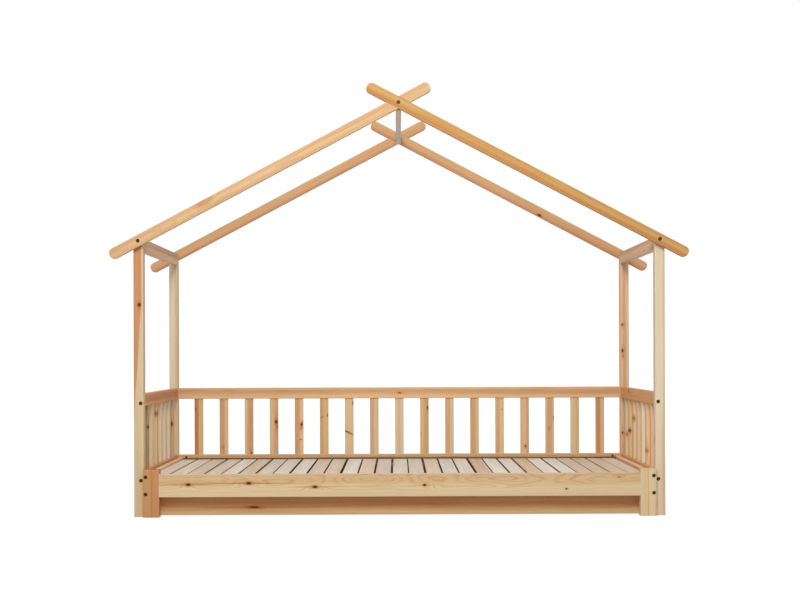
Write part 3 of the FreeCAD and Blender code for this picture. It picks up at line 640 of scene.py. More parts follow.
@dataclass(frozen=True)
class Knot:
    """A branch cut through by a timber's face, placed from the timber's middle."""

    along: float
    across: float
    radius: float = 0.004
    tail: float = 0.05
    long: float = 1.5
    wide: float = 1.0
    lean: float = 0.0
    dark: float = 1.0
    glow: float = 0.8
    through: Through = Through.FACE

    def place(self, wiring: Wiring, point: Source, before: dict[str, Source]) -> dict[str, Source]:
        """Adds the knot to those before it.

        Args:
            wiring: The material's wiring.
            point: The point in the timber's axes.
            before: Core, halo and bend of the knots placed so far.

        Returns:
            The three with this knot in them.
        """
        on_face = self.through is Through.FACE
        spot = (self.along, self.across, 0.0) if on_face else (self.along, 0.0, self.across)
        sizes = (self.radius * self.long, self.radius * self.wide, self.radius)
        reach = tuple(count / size for count, size in zip(self.through.value, sizes))
        node = wiring.place(knot_group(), Point=point, Place=spot, Reach=reach, Radius=self.radius,
                            Lean=self.lean, Tail=self.tail, Dark=self.dark, Glow=self.glow, **before)
        return {name: node.outputs[name] for name in before}


@dataclass(frozen=True)
class HeartBand:
    """The strip of heartwood across a face, in half widths from its middle; on some timbers the strip is
    painted shade.

    Its upper border climbs by the slope along the timber, up to the cap, and the strip slants by
    the tilt through it.  The softness of its borders is in metres.
    """

    low: float = -3.0
    high: float = -3.0
    slope: float = 0.0
    tilt: float = 0.0
    cap: float = 3.0
    softness: float = 0.003


def seed_of(name: str) -> float:
    """Returns a fixed number for a name, so that no two timbers share a grain."""
    return zlib.crc32(name.encode()) % SEED_COUNT / SEED_STEP


@dataclass(frozen=True)
class Pine:
    """The wood of one timber."""

    sapwood: Tint = Tint.STRAW
    heartwood: Tint = Tint.AMBER
    band: HeartBand = HeartBand()
    pith: tuple[float, float] = (0.01, 0.04)
    drift: tuple[float, float] = (0.0, 0.006)
    ring_pitch: float = 0.0035
    figure: float = 0.35
    streaks: float = 0.55
    knots: tuple[Knot, ...] = ()
    gloss: float = 0.08
    relief: float = 0.0003
    relief_shown: float = 0.5

    def surface(self, name: str, lie: Lie) -> tuple[Surface, bpy.types.Node]:
        """Starts the timber's material.

        Args:
            name: The timber's name, which also seeds its grain.
            lie: Where the timber lies.

        Returns:
            The material's surface and the planed pine group in it.
        """
        surface = Surface(f"{name}_pine")
        point, end = lie.mapped(surface)
        marks: dict[str, Source] = {"Core": 0.0, "Halo": 0.0, "Bend": 0.0}
        for knot in self.knots:
            marks = knot.place(surface, point, marks)
        half_width = lie.half[1]
        wood = surface.place(
            pine_group(), Point=point, End=end, Half_Size=tuple(lie.half), Seed=seed_of(name),
            Pith=(0.0, *self.pith), Drift=(0.0, *self.drift), Pitch=self.ring_pitch,
            Sapwood=self.sapwood.colour, Heartwood=self.heartwood.colour,
            Heart_Low=self.band.low * half_width, Heart_High=self.band.high * half_width,
            Heart_Slope=self.band.slope, Heart_Tilt=self.band.tilt, Heart_Cap=self.band.cap * half_width,
            Softness=self.band.softness, Figure=self.figure, Streaks=self.streaks, **marks,
        )
        surface.paint(Base_Color=wood.outputs["Color"], Roughness=wood.outputs["Roughness"],
                      Specular_IOR_Level=self.gloss)
        surface.emboss(wood.outputs["Height"], self.relief, self.relief_shown)
        return surface, wood

    def material(self, name: str, lie: Lie) -> bpy.types.Material:
        """Makes the timber's material."""
        return self.surface(name, lie)[0].material


@dataclass(frozen=True)
class Webbing:
    """Brown-grey woven webbing."""

    dark: Triple = (92, 82, 68)
    light: Triple = (150, 138, 120)
    thread: float = 0.0011
    weft_pace: float = 0.6
    slub_cells: Triple = (90.0, 900.0, 900.0)
    relief: float = 0.0002
    roughness: float = 0.85
    sheen: float = 0.15

    def material(self) -> bpy.types.Material:
        """Makes the woven material: threads over and under each other in a plain weave.

        Returns:
            The material.
        """
        surface = Surface("strap_webbing")
        here = surface.here()
        x, y, _ = surface.split(here)
        turn = math.pi / self.thread
        warp = surface.math("SINE", surface.math("MULTIPLY", y, turn))
        weft = surface.math("SINE", surface.math("MULTIPLY", x, turn * self.weft_pace))
        lift = surface.math("MULTIPLY_ADD", surface.math("MULTIPLY", warp, weft), 0.5, 0.5)
        slub = surface.stretched_noise(here, self.slub_cells, detail=2.0, shift=5.0)
        shade = surface.math("MULTIPLY_ADD", slub, 0.5, surface.math("MULTIPLY", lift, 0.5))
        surface.paint(Base_Color=surface.mix(shade, rgb(*self.dark), rgb(*self.light)),
                      Roughness=self.roughness, Sheen_Weight=self.sheen)
        surface.emboss(lift, self.relief)
        return surface.material


@dataclass(frozen=True)
class Metal:
    """Plated steel of small parts, rubbed where hands and tools touch it."""

    name: str
    colour: Triple
    roughness: float
    wear: float
    rubbed_gain: float = 2.2
    rubbed_lift: float = 0.05
    grime_stain: float = 0.4
    grime_roughness: float = 0.2

    def material(self) -> bpy.types.Material:
        """Makes the metal.

        Returns:
            The material.
        """
        surface = Surface(self.name)
        marks = surface.place(wear_group(), Point=surface.here(), Amount=self.wear).outputs
        plain = rgb(*self.colour)
        bare = (*(min(1.0, c * self.rubbed_gain + self.rubbed_lift) for c in plain[:3]), 1.0)
        worn = surface.mix(marks["Wear"], plain, bare)
        grimy = surface.stain(worn, surface.math("MULTIPLY", marks["Grime"], self.grime_stain), Stain.GRIME)
        rough = surface.math("MULTIPLY_ADD", marks["Grime"], self.grime_roughness, self.roughness)
        surface.paint(Base_Color=grimy, Roughness=rough, Metallic=1.0)
        return surface.material


@dataclass(frozen=True)
class Beech:
    """Compressed beech of the dowels, with its short brown flecks."""

    light: Triple = (214, 178, 138)
    fleck: Triple = (166, 118, 78)
    fleck_cells: Triple = (900.0, 900.0, 900.0)
    fleck_step: tuple[float, float] = (0.5, 0.68)
    roughness: float = 0.55
    fleck_roughness: float = 0.2

    def material(self) -> bpy.types.Material:
        """Makes the beech.

        Returns:
            The material.
        """
        surface = Surface("dowel_beech")
        flecks = surface.stretched_noise(surface.here(), self.fleck_cells, detail=2.0, shift=11.0)
        tint = surface.mix(surface.ease(flecks, *self.fleck_step), rgb(*self.light), rgb(*self.fleck))
        rough = surface.math("MULTIPLY_ADD", flecks, self.fleck_roughness, self.roughness)
        surface.paint(Base_Color=tint, Roughness=rough)
        return surface.material


def dress(node: str, material: bpy.types.Material) -> None:
    """Gives a CAD node its material in every slot.

    Args:
        node: The CAD node.
        material: The finish that it gets.
    """
    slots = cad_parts[node].data.materials
    if not slots:
        slots.append(material)
    for index in range(len(slots)):
        slots[index] = material
    LOG.info("%s: %s", node, material.name)


def dress_timber(node: str, pine: Pine, run: Run) -> None:
    """Gives a squared timber its own pine."""
    dress(node, pine.material(node, Lie.of(node, run)))


def striped(sapwood: Tint, heartwood: Tint, low: float, high: float, *knots: Knot) -> Pine:
    """Describes a guard slat's wood, with a stripe of heartwood along its face, which on the first slat of
    the left end is painted shade.

    Args:
        sapwood: The tint beside the stripe.
        heartwood: The tint of the stripe.
        low: Where the stripe starts, in half widths of the face from its middle.
        high: Where the stripe ends.
        knots: The slat's knots.

    Returns:
        The slat's wood, its pith on the high side where the stripe runs past that edge, or else on
        the low side.
    """
    pith_side = 1 if high > 1 else -1
    return Pine(sapwood, heartwood, HeartBand(low, high, softness=0.0015), pith=(pith_side * 0.02, 0.03),
                figure=0.22, streaks=0.4, knots=knots)


@dataclass
class CornerPosts:
    """The four slim posts, each of another board."""

    woods: dict[str, Pine] = field(default_factory=lambda: {
        "front_left": Pine(
            Tint.SAND, Tint.GINGER, HeartBand(high=-0.42, slope=0.066, cap=0.6, softness=0.0014),
            pith=(-0.03, 0.0), figure=0.25, streaks=0.35,
            knots=(Knot(0.285, 0.004, 0.0065, tail=0.03, long=1.15, glow=0.6),),
        ),
        "front_right": Pine(
            Tint.LINEN, Tint.SAND, HeartBand(low=0.5, high=3.0, softness=0.004),
            pith=(0.05, 0.01), figure=0.2, streaks=0.35,
            knots=(Knot(-0.251, 0.0, 0.006, tail=0.02, dark=0.1, glow=0.7, through=Through.EDGE),),
        ),
        "back_left": Pine(
            Tint.CREAM, Tint.STRAW, HeartBand(low=0.4, high=3.0), pith=(0.03, 0.05), figure=0.2, streaks=0.4,
        ),
        "back_right": Pine(
            Tint.PEACH, Tint.ROSE, HeartBand(low=-0.5, high=0.2),
            pith=(-0.02, 0.03), figure=0.35, streaks=0.5,
            knots=(
                Knot(0.218, -0.011, 0.0035, tail=0.02),
                Knot(0.100, -0.010, 0.0040, tail=0.03, long=2.0),
                Knot(0.075, -0.008, 0.0030, tail=0.02, dark=0.3),
                Knot(-0.270, -0.011, 0.0035, tail=0.02),
            ),
        ),
    })

    def dress(self) -> None:
        """Finishes the four posts."""
        for place, wood in self.woods.items():
            dress_timber(f"{place}_post", wood, Run.UPRIGHT)


@dataclass
class Roof:
    """Two pairs of crossed rafters, the ridge board between them and the beams over the ends.

    A rafter's middle line runs from the apex to its eave bolt, which lies out from the middle of
    the bed at its own height.
    """

    apex_height: float = 1.615
    eave_bolt_out: float = 1.017
    eave_bolt_height: float = 1.079
    rafter_depth: float = 0.043
    rafter_woods: dict[str, Pine] = field(default_factory=lambda: {
        "front_left": Pine(
            Tint.FAWN, Tint.WHEAT, HeartBand(low=-0.3, high=0.25, softness=0.006),
            pith=(0.0, -0.03), figure=0.3, streaks=0.35,
            knots=(Knot(-0.285, 0.010, 0.009, tail=0.05, long=2.2, dark=0.0, glow=0.45),),
        ),
        "front_right": Pine(
            Tint.BRASS, Tint.CINNAMON, HeartBand(high=-0.3, softness=0.006),
            pith=(0.03, -0.02), figure=0.6, streaks=0.7,
        ),
        "back_left": Pine(
            Tint.FAWN, Tint.CLAY, HeartBand(high=-0.5, softness=0.005),
            pith=(0.03, 0.02), figure=0.4, streaks=0.5,
        ),
        "back_right": Pine(
            Tint.FAWN, Tint.CLAY, HeartBand(high=-0.4, softness=0.005),
            pith=(0.04, -0.01), figure=0.45, streaks=0.6, knots=(Knot(0.163, -0.014, 0.005, tail=0.02),),
        ),
    })
    ridge_wood: Pine = Pine(Tint.MIST, Tint.SAND, pith=(0.0, 0.03), figure=0.25, streaks=0.3)
    beam_woods: dict[str, Pine] = field(default_factory=lambda: {
        "left": Pine(
            Tint.PEACH, Tint.ROSE, HeartBand(low=0.0, high=3.0, softness=0.004),
            pith=(0.05, 0.01), figure=0.35, streaks=0.5,
            knots=(Knot(0.178, 0.004, 0.0035, tail=0.02, dark=0.8),),
        ),
        "right": Pine(
            Tint.PEACH, Tint.ROSE, HeartBand(low=0.2, high=3.0, softness=0.004),
            pith=(0.04, 0.01), figure=0.35, streaks=0.5,
            knots=(Knot(-0.227, -0.013, 0.003, tail=0.02, dark=0.8), Knot(-0.43, -0.015, 0.003, tail=0.02)),
        ),
    })

    def rafter_lie(self, end: str, side: str) -> Lie:
        """Works out a rafter's slope and length from its box.

        Args:
            end: front or back.
            side: The side that its foot is on, left or right.

        Returns:
            The rafter's lie.
        """
        flat = Lie.of(f"{end}_{side}_rafter", Run.LENGTHWISE)
        climb = math.atan2(self.apex_height - self.eave_bolt_height, self.eave_bolt_out)
        half_length = flat.half[0] / math.cos(climb)
        return flat.sloped(climb if side == "left" else -climb, half_length, self.rafter_depth / 2)

    def dress(self) -> None:
        """Finishes the rafters, the ridge board and the eave beams."""
        for place, wood in self.rafter_woods.items():
            node = f"{place}_rafter"
            dress(node, wood.material(node, self.rafter_lie(*place.split("_"))))
        dress_timber("ridge_board", self.ridge_wood, Run.CROSSWISE)
        for side, wood in self.beam_woods.items():
            dress_timber(f"{side}_eave_beam", wood, Run.CROSSWISE)


@dataclass
class EndPanel:
    """One slatted end: two rails and seven slats whose inner faces show from the front."""

    side: str
    high_rail: Pine
    low_rail: Pine
    slats: tuple[Pine, ...]

    def dress(self) -> None:
        """Finishes the rails and slats."""
        dress_timber(f"{self.side}_end_high_rail", self.high_rail, Run.CROSSWISE)
        dress_timber(f"{self.side}_end_low_rail", self.low_rail, Run.CROSSWISE)
        for number, wood in enumerate(self.slats, start=1):
            dress_timber(f"{self.side}_end_slat_{number}", wood, Run.UPRIGHT_AT_END)


def end_panels() -> tuple[EndPanel, EndPanel]:
    """Describes the woods of both end panels.

    Returns:
        The left and the right end panel.
    """
    left = EndPanel(
        "left",
        high_rail=Pine(
            Tint.APRICOT, Tint.GINGER, HeartBand(low=-0.4, high=0.6, softness=0.006),
            pith=(0.03, -0.02), figure=0.3, streaks=0.45,
        ),
        low_rail=Pine(Tint.CLAY, Tint.RUST, HeartBand(low=-0.3, high=0.6), figure=0.3),
        slats=(
            # The drab stripe over the front edge of this first slat, next to the post, is painted shade: the
            # post's shadow.
            striped(Tint.OAT, Tint.DRAB, -3.0, 0.2,
                    Knot(0.039, -0.006, 0.003, tail=0.02, through=Through.EDGE)),
            striped(Tint.LINEN, Tint.OAT, -3.0, -0.2),
            striped(Tint.BISCUIT, Tint.HONEY, -0.5, 0.9,
                    Knot(0.083, -0.0035, 0.0045, tail=0.02, dark=0.35, glow=1.0, through=Through.EDGE)),
            striped(Tint.LINEN, Tint.PEACH, -0.5, 0.6),
            striped(Tint.LINEN, Tint.OAT, 0.3, 3.0),
            striped(Tint.LINEN, Tint.STRAW, 0.1, 3.0),
            striped(Tint.PEACH, Tint.FAWN, -3.0, -0.3,
                    Knot(0.020, 0.0, 0.0045, tail=0.06, long=2.0, dark=0.85, glow=1.0, through=Through.EDGE)),
        ),
    )
    right = EndPanel(
        "right",
        high_rail=Pine(
            Tint.APRICOT, Tint.HONEY, HeartBand(low=-0.3, high=0.5, softness=0.006),
            pith=(0.03, 0.02), figure=0.35, streaks=0.5,
            knots=(Knot(0.196, 0.010, 0.006, tail=0.06, dark=0.3),),
        ),
        low_rail=Pine(Tint.AMBER, Tint.CLAY, HeartBand(low=-0.3, high=0.6), figure=0.3),
        slats=(
            striped(Tint.BISCUIT, Tint.PEACH, -3.0, -0.3),
            striped(Tint.PEACH, Tint.BISCUIT, -0.6, 0.9,
                    Knot(-0.070, 0.004, 0.004, tail=0.07, dark=0.3, through=Through.EDGE)),
            striped(Tint.CREAM, Tint.STRAW, 0.2, 3.0),
            striped(Tint.OAT, Tint.STRAW, 0.0, 3.0),
            striped(Tint.PEACH, Tint.ROSE, -0.2, 0.8,
                    Knot(0.047, 0.0036, 0.004, tail=0.03, long=2.0, dark=0.4, through=Through.EDGE)),
            striped(Tint.PEACH, Tint.BISCUIT, -3.0, 0.3,
                    Knot(-0.012, 0.0045, 0.005, tail=0.02, dark=0.9, through=Through.EDGE)),
            striped(Tint.OAT, Tint.FAWN, -0.4, 3.0,
                    Knot(-0.033, 0.0, 0.0045, tail=0.04, dark=0.4, through=Through.EDGE)),
        ),
    )
    return left, right


@dataclass
class BackPanel:
    """The slatted back: two rails and seventeen slats."""

    high_rail: Pine = Pine(
        Tint.PEACH, Tint.FAWN, HeartBand(low=-0.3, high=0.7, softness=0.010),
        pith=(0.015, 0.03), figure=0.35, streaks=0.5, knots=(Knot(0.002, 0.0, 0.003, tail=0.03, glow=0.9),),
    )
    # The dark peat band along the lower front of the low rail is painted shade: the shadow line where the
    # mattress slats meet the rail. It is slanted so that it shows on the front face only.
    low_rail: Pine = Pine(
        Tint.WHEAT, Tint.PEAT, HeartBand(high=-0.42, tilt=-1.6, softness=0.002),
        pith=(0.0, 0.04), figure=0.6, streaks=0.65,
    )
    slats: tuple[Pine, ...] = (
        striped(Tint.BISCUIT, Tint.RUST, -3.0, -0.1, Knot(0.081, -0.0175, 0.003, tail=0.03)),
        striped(Tint.BISCUIT, Tint.ROSE, -3.0, 0.2,
                Knot(-0.094, -0.003, 0.004, tail=0.02, dark=0.15, glow=0.4)),
        striped(Tint.OAT, Tint.FAWN, -0.35, 3.0, Knot(-0.118, 0.011, 0.003, tail=0.02, dark=0.8)),
        striped(Tint.STRAW, Tint.ROSE, -0.1, 0.9,
                Knot(0.021, 0.0105, 0.0065, tail=0.07, long=1.1, dark=0.9, glow=1.0),
                Knot(0.0, 0.016, 0.004, tail=0.09, dark=0.0, glow=0.8)),
        striped(Tint.PEACH, Tint.FAWN, -1.0, 0.2,
                Knot(0.009, 0.0115, 0.005, tail=0.04, lean=0.4, dark=0.9, glow=1.0),
                Knot(-0.004, 0.010, 0.005, tail=0.04, dark=0.0, glow=0.8),
                Knot(-0.059, 0.0076, 0.0022, long=0.8, wide=2.6, tail=0.01, lean=0.1, dark=0.7, glow=0.5)),
        striped(Tint.SESAME, Tint.FAWN, -3.0, -0.2, Knot(0.051, 0.0157, 0.003, tail=0.015, dark=0.6),
                Knot(0.040, -0.010, 0.0022, long=0.9, wide=3.5, lean=0.5, tail=0.01, dark=0.0, glow=0.6)),
        striped(Tint.STRAW, Tint.OAT, -3.0, -0.45,
                Knot(-0.024, -0.012, 0.0036, long=0.8, wide=2.2, lean=-0.5, tail=0.01),
                Knot(-0.030, 0.001, 0.0030, long=0.9, wide=5.0, lean=-0.5, tail=0.01, dark=0.1, glow=0.95),
                Knot(0.105, 0.0166, 0.0025, tail=0.02, long=2.5, dark=0.6)),
        striped(Tint.OAT, Tint.ROSE, -3.0, -0.05),
        striped(Tint.LINEN, Tint.STRAW, -0.35, 0.2),
        striped(Tint.SESAME, Tint.FAWN, 0.1, 3.0, Knot(0.083, 0.0155, 0.0042, tail=0.05, long=1.4),
                Knot(-0.035, -0.0175, 0.002, tail=0.01, dark=0.8)),
        striped(Tint.OAT, Tint.ROSE, -3.0, 0.1),
        striped(Tint.BISCUIT, Tint.FAWN, -3.0, 0.2),
        striped(Tint.BISCUIT, Tint.ROSE, -0.9, -0.1,
                Knot(0.0746, 0.0115, 0.0017, long=0.7, wide=4.0, tail=0.01, dark=0.35, glow=0.6)),
        striped(Tint.BISCUIT, Tint.FAWN, 0.15, 3.0, Knot(-0.0935, 0.003, 0.0038, tail=0.02, dark=0.8)),
        striped(Tint.STRAW, Tint.ROSE, -0.7, 0.5, Knot(0.034, 0.0185, 0.003, long=2.2, tail=0.02),
                Knot(-0.0145, -0.003, 0.004, tail=0.02, dark=0.0, glow=0.45)),
        striped(Tint.SESAME, Tint.OAT, -3.0, 0.2),
        striped(Tint.BISCUIT, Tint.CLAY, -0.85, 0.05),
    )

    def dress(self) -> None:
        """Finishes the rails and slats."""
        dress_timber("back_high_rail", self.high_rail, Run.LENGTHWISE)
        dress_timber("back_low_rail", self.low_rail, Run.LENGTHWISE)
        for number, wood in enumerate(self.slats, start=1):
            dress_timber(f"back_slat_{number}", wood, Run.UPRIGHT)


@dataclass
class FrontEntry:
    """The low front rail between two leg blocks, each glued from two upright staves."""

    stave_joint: float = 0.968
    glue_line: float = 0.0008
    seam_depth: float = 0.25
    inner_seed: float = 17.0
    rail: Pine = Pine(
        Tint.OAT, Tint.WHEAT, HeartBand(low=0.05, high=3.0, softness=0.014),
        pith=(0.018, -0.035), drift=(0.0, 0.004), ring_pitch=0.0030, figure=0.6, streaks=0.3,
        knots=(
            Knot(-0.824, 0.004, 0.0055, tail=0.16, long=1.7, glow=0.9),
            Knot(-0.588, 0.009, 0.0055, tail=0.30, long=1.7, glow=1.0),
            Knot(-0.330, -0.006, 0.0055, tail=0.13, long=1.8, glow=0.9),
            Knot(0.097, 0.000, 0.0050, tail=0.05, long=1.5, glow=0.5),
            Knot(0.649, -0.017, 0.0035, tail=0.02, long=1.4, glow=0.4),
            Knot(0.855, 0.029, 0.0030, tail=0.02, long=2.0, glow=0.5, dark=0.35),
            Knot(-0.110, 0.022, 0.0120, tail=0.001, long=2.7, wide=1.0, glow=0.0, dark=0.0),
            Knot(0.400, 0.022, 0.0120, tail=0.001, long=3.3, wide=1.0, glow=0.0, dark=0.0),
        ),
    )
    blocks: dict[str, Pine] = field(default_factory=lambda: {
        "left": Pine(
            Tint.CARAMEL, Tint.GINGER, HeartBand(low=0.35, high=3.0, softness=0.016),
            pith=(-0.03, -0.05), figure=0.25, streaks=0.4,
        ),
        "right": Pine(
            Tint.OAT, Tint.STRAW, HeartBand(low=-0.5, high=0.2), pith=(0.04, -0.05), figure=0.3, streaks=0.35,
        ),
    })

    def block_material(self, side: str) -> bpy.types.Material:
        """Makes a leg block's wood, with another grain in its inner stave and the glue line between.

        Args:
            side: The block's side, left or right.

        Returns:
            The material.
        """
        node = f"{side}_leg_block"
        surface, wood = self.blocks[side].surface(node, Lie.of(node, Run.UPRIGHT))
        out = surface.math("ABSOLUTE", surface.split(surface.here())[0])
        inner = surface.math("LESS_THAN", out, self.stave_joint)
        surface.feed(wood.inputs["Seed"], surface.math("MULTIPLY_ADD", inner, self.inner_seed, seed_of(node)))
        joint = surface.math("ABSOLUTE", surface.math("SUBTRACT", out, self.stave_joint))
        seam = surface.math("MULTIPLY", surface.fade(joint, 0.0, self.glue_line), self.seam_depth)
        surface.paint(Base_Color=surface.mix(seam, wood.outputs["Color"], Tint.UMBER.colour))
        return surface.material

    def dress(self) -> None:
        """Finishes the rail and the blocks."""
        dress_timber("front_rail", self.rail, Run.LENGTHWISE)
        for side in self.blocks:
            dress(f"{side}_leg_block", self.block_material(side))


@dataclass
class BedBase:
    """The bearers and low boards that carry the mattress slats."""

    # The tawny band over the upper part of the front board is partly real heartwood and partly painted shade:
    # its lower border follows where the front rail's shadow ends.
    front_board: Pine = Pine(
        Tint.WHEAT, Tint.TAWNY, HeartBand(low=-0.68, high=3.0, softness=0.014),
        pith=(0.03, 0.05), figure=0.6, streaks=0.65,
        knots=(Knot(-0.572, -0.039, 0.0045, tail=0.34, long=4.2, wide=0.9, glow=1.0, dark=0.85),),
    )
    back_board: Pine = Pine(
        Tint.WHEAT, Tint.CLAY, HeartBand(low=-0.1, high=3.0), pith=(0.0, 0.04), figure=0.5,
    )
    bearer: Pine = Pine(
        Tint.PEACH, Tint.AMBER, HeartBand(low=-0.2, high=0.5), pith=(0.02, 0.03), figure=0.3,
    )

    def dress(self) -> None:
        """Finishes the boards and bearers."""
        dress_timber("front_low_board", self.front_board, Run.LENGTHWISE)
        dress_timber("back_low_board", self.back_board, Run.LENGTHWISE)
        for side in ("left", "right"):
            dress_timber(f"{side}_cross_bearer", self.bearer, Run.CROSSWISE)


def new_box(middle: Vector, size: Vector) -> bpy.types.Object:
    """Starts a piece as a box with its place in its mesh.

    Args:
        middle: The box's middle.
        size: Its three sides.

    Returns:
        The piece.
    """
    bpy.ops.object.select_all(action="DESELECT")
    bpy.ops.mesh.primitive_cube_add(size=1.0, location=middle, scale=size)
    bpy.ops.object.transform_apply(location=True, rotation=True, scale=True)
    return bpy.context.object


def select_faces(piece: bpy.types.Object, wanted: Callable[[bmesh.types.BMFace], bool]) -> None:
    """Selects, in edit mode, just the faces that pass a test.

    Args:
        piece: The piece that is being edited.
        wanted: The test.
    """
    bpy.ops.mesh.select_all(action="DESELECT")
    bpy.ops.mesh.select_mode(type="FACE")
    mesh = bmesh.from_edit_mesh(piece.data)
    for face in mesh.faces:
        face.select_set(wanted(face))
    bmesh.update_edit_mesh(piece.data)


def extrude(x: float = 0.0, z: float = 0.0) -> None:
    """Extrudes the selected faces along the bed and upwards."""
    bpy.ops.mesh.extrude_region_move(TRANSFORM_OT_translate={"value": (x, 0.0, z)})


def cut_across(place: Triple, normal: Triple) -> None:
    """Cuts the whole mesh along a plane and keeps both sides."""
    bpy.ops.mesh.select_all(action="SELECT")
    bpy.ops.mesh.bisect(plane_co=place, plane_no=normal)


def soften(piece: bpy.types.Object, width: float) -> None:
    """Rounds a piece's sharp edges with an applied bevel and shades it smooth by angle.

    Args:
        piece: The piece.
        width: How wide the rounding is.
    """
    bevel = piece.modifiers.new("soft_edges", "BEVEL")
    bevel.width = width
    bevel.segments = BEVEL_SEGMENTS
    bevel.limit_method = "ANGLE"
    bpy.ops.object.select_all(action="DESELECT")
    piece.select_set(True)
    bpy.context.view_layer.objects.active = piece
    bpy.ops.object.modifier_apply(modifier=bevel.name)
    bpy.ops.object.shade_smooth_by_angle(angle=SMOOTH_ANGLE)


def copy_at(piece: bpy.types.Object, shift: Vector) -> bpy.types.Object:
    """Copies a piece with its own mesh.

    Args:
        piece: The piece to copy.
        shift: How far the copy's mesh is moved.

    Returns:
        The copy.
    """
    twin = piece.copy()
    twin.data = piece.data.copy()
    twin.data.transform(Matrix.Translation(shift))
    bpy.context.collection.objects.link(twin)
    return twin


def join_pieces(pieces: list[bpy.types.Object], name: str) -> bpy.types.Object:
    """Joins separate solids into one piece.

    Args:
        pieces: The solids.
        name: The piece's name.

    Returns:
        The piece.
    """
    bpy.ops.object.select_all(action="DESELECT")
    for piece in pieces:
        piece.select_set(True)
    bpy.context.view_layer.objects.active = pieces[0]
    bpy.ops.object.join()
    joined = bpy.context.object
    joined.name = joined.data.name = name
    return joined


@dataclass
class SlatBase:
    """The loose raw slats and the two stapled straps that keep them in a row.

    Slats lie at an even pitch, moved by a shift, a slow drift that is largest in the middle of the
    row, and a jitter that turns by a fixed angle from slat to slat.  A strap is slack from a point
    in slat widths from a slat's middle.  A marked slat has its number, the tint that sets it apart
    and how much of it shows.  The sawn sides of the slats carry painted shade, darkest in the
    middle of the bed.
    """

    slat_count: int = 29
    slat_pitch: float = 0.0675
    slat_width: float = 0.060
    shift: float = -0.004
    drift: float = 0.006
    jitter: float = 0.0015
    jitter_turn: float = math.radians(137)
    strap_width: float = 0.025
    strap_thickness: float = 0.0012
    strap_rounding: float = 0.00048
    strap_sag: float = 0.0008
    slack_from: float = 0.555
    least_step: float = 0.001
    hem_length: float = 0.020
    webbing: Webbing = Webbing()
    staple_crown: float = 0.010
    staple_width: float = 0.0012
    staple_thickness: float = 0.0006
    staple_rounding: float = 0.00018
    staple_bite: float = 0.00006
    staple_leg: float = 0.004
    staple_spread: float = 0.012
    staple_stagger: float = 0.003
    staple_metal: Metal = Metal("bright_staple_wire", (176, 178, 180), roughness=0.35, wear=0.15)
    wood: Pine = Pine(
        Tint.ASH, Tint.ASH, pith=(0.01, 0.03), ring_pitch=0.003, figure=0.4, streaks=0.45,
    )
    plain_tints: tuple[Tint, Tint] = (Tint.CHALK, Tint.BONE)
    marked_slats: tuple[tuple[int, Tint, float], ...] = (
        (0, Tint.MIST, 0.8), (1, Tint.MIST, 0.7), (2, Tint.SAND, 0.3), (3, Tint.SAND, 0.4),
        (5, Tint.SAND, 0.5), (9, Tint.FAWN, 0.35), (10, Tint.WHEAT, 0.3), (11, Tint.LILAC, 1.0),
        (12, Tint.STRAW, 0.6), (13, Tint.FAWN, 0.25), (16, Tint.PEACH, 0.25), (19, Tint.FAWN, 0.6),
        (22, Tint.STRAW, 0.8), (23, Tint.LILAC, 1.0), (24, Tint.LILAC, 1.0), (25, Tint.WHEAT, 0.5),
        (26, Tint.SAND, 0.8), (27, Tint.SAND, 0.6), (28, Tint.ROSE, 0.3),
    )
    shade_share: float = 0.7
    seed_spread: float = 90.0
    sawn_facing: tuple[float, float] = (0.75, 0.95)
    side_shade_from_middle: tuple[float, float] = (0.3, 0.9)

    def slat_centre(self, number: int) -> float:
        """Works out where a slat's middle lies, with its uneven gaps.

        Args:
            number: The slat, from 0 at the left end.

        Returns:
            How far along the bed the middle lies.
        """
        last = self.slat_count - 1
        bow = self.drift * math.sin(math.pi * number / last)
        jitter = self.jitter * math.sin(self.jitter_turn * number)
        return (number - last / 2) * self.slat_pitch + self.shift + bow + jitter

    def slat_number(self, surface: Surface, along: Source) -> bpy.types.NodeSocket:
        """Tells in a material which slat a point is on.

        Args:
            surface: The material's surface.
            along: How far along the bed the point lies.

        Returns:
            The slat's number, from 0 at the left end.
        """
        last = self.slat_count - 1
        per_slat = 1 / self.slat_pitch
        evenly = surface.math("MULTIPLY_ADD", along, per_slat, last / 2)
        bow = surface.math("SINE", surface.math("MULTIPLY", evenly, math.pi / last))
        moved = surface.math("MULTIPLY_ADD", bow, -self.drift, surface.math("SUBTRACT", along, self.shift))
        return surface.math("FLOOR", surface.math("MULTIPLY_ADD", moved, per_slat, last / 2 + 0.5))

    def slat_material(self) -> bpy.types.Material:
        """Makes the raw wood of all the slats, another board for each, with painted shade on the sawn sides.

        Returns:
            The material.
        """
        surface, wood = self.wood.surface("bed_slats", Lie.of("bed_slats", Run.SLATWISE))
        here = surface.add("ShaderNodeTexCoord").outputs
        along = surface.split(here["Object"])[0]
        number = self.slat_number(surface, along)
        chance = surface.random(number)
        surface.feed(wood.inputs["Seed"], surface.math("MULTIPLY", chance, self.seed_spread))
        hue = surface.random(surface.math("ADD", number, 0.5))
        tint = surface.mix(hue, *(plain.colour for plain in self.plain_tints))
        for marked, other, share in self.marked_slats:
            chosen = surface.math("COMPARE", number, float(marked), 0.5)
            tint = surface.mix(surface.math("MULTIPLY", chosen, share), tint, other.colour)
        shaded = surface.stain(tint, surface.math("MULTIPLY", chance, self.shade_share), Stain.RAW_SHADE)
        # Painted shade on the sawn sides: dark peat in the middle of the bed, where the gaps between slats
        # look deepest, turning to sand towards the ends.
        sideways = surface.vector("DOT_PRODUCT", here["Normal"], ALONG_BED)
        sawn = surface.ease(surface.math("ABSOLUTE", sideways), *self.sawn_facing)
        outer = surface.ease(surface.math("ABSOLUTE", along), *self.side_shade_from_middle)
        sawn_side_shade = surface.mix(outer, Tint.PEAT.colour, Tint.SAND.colour)
        surface.feed(wood.inputs["Sapwood"], surface.mix(sawn, shaded, sawn_side_shade))
        return surface.material

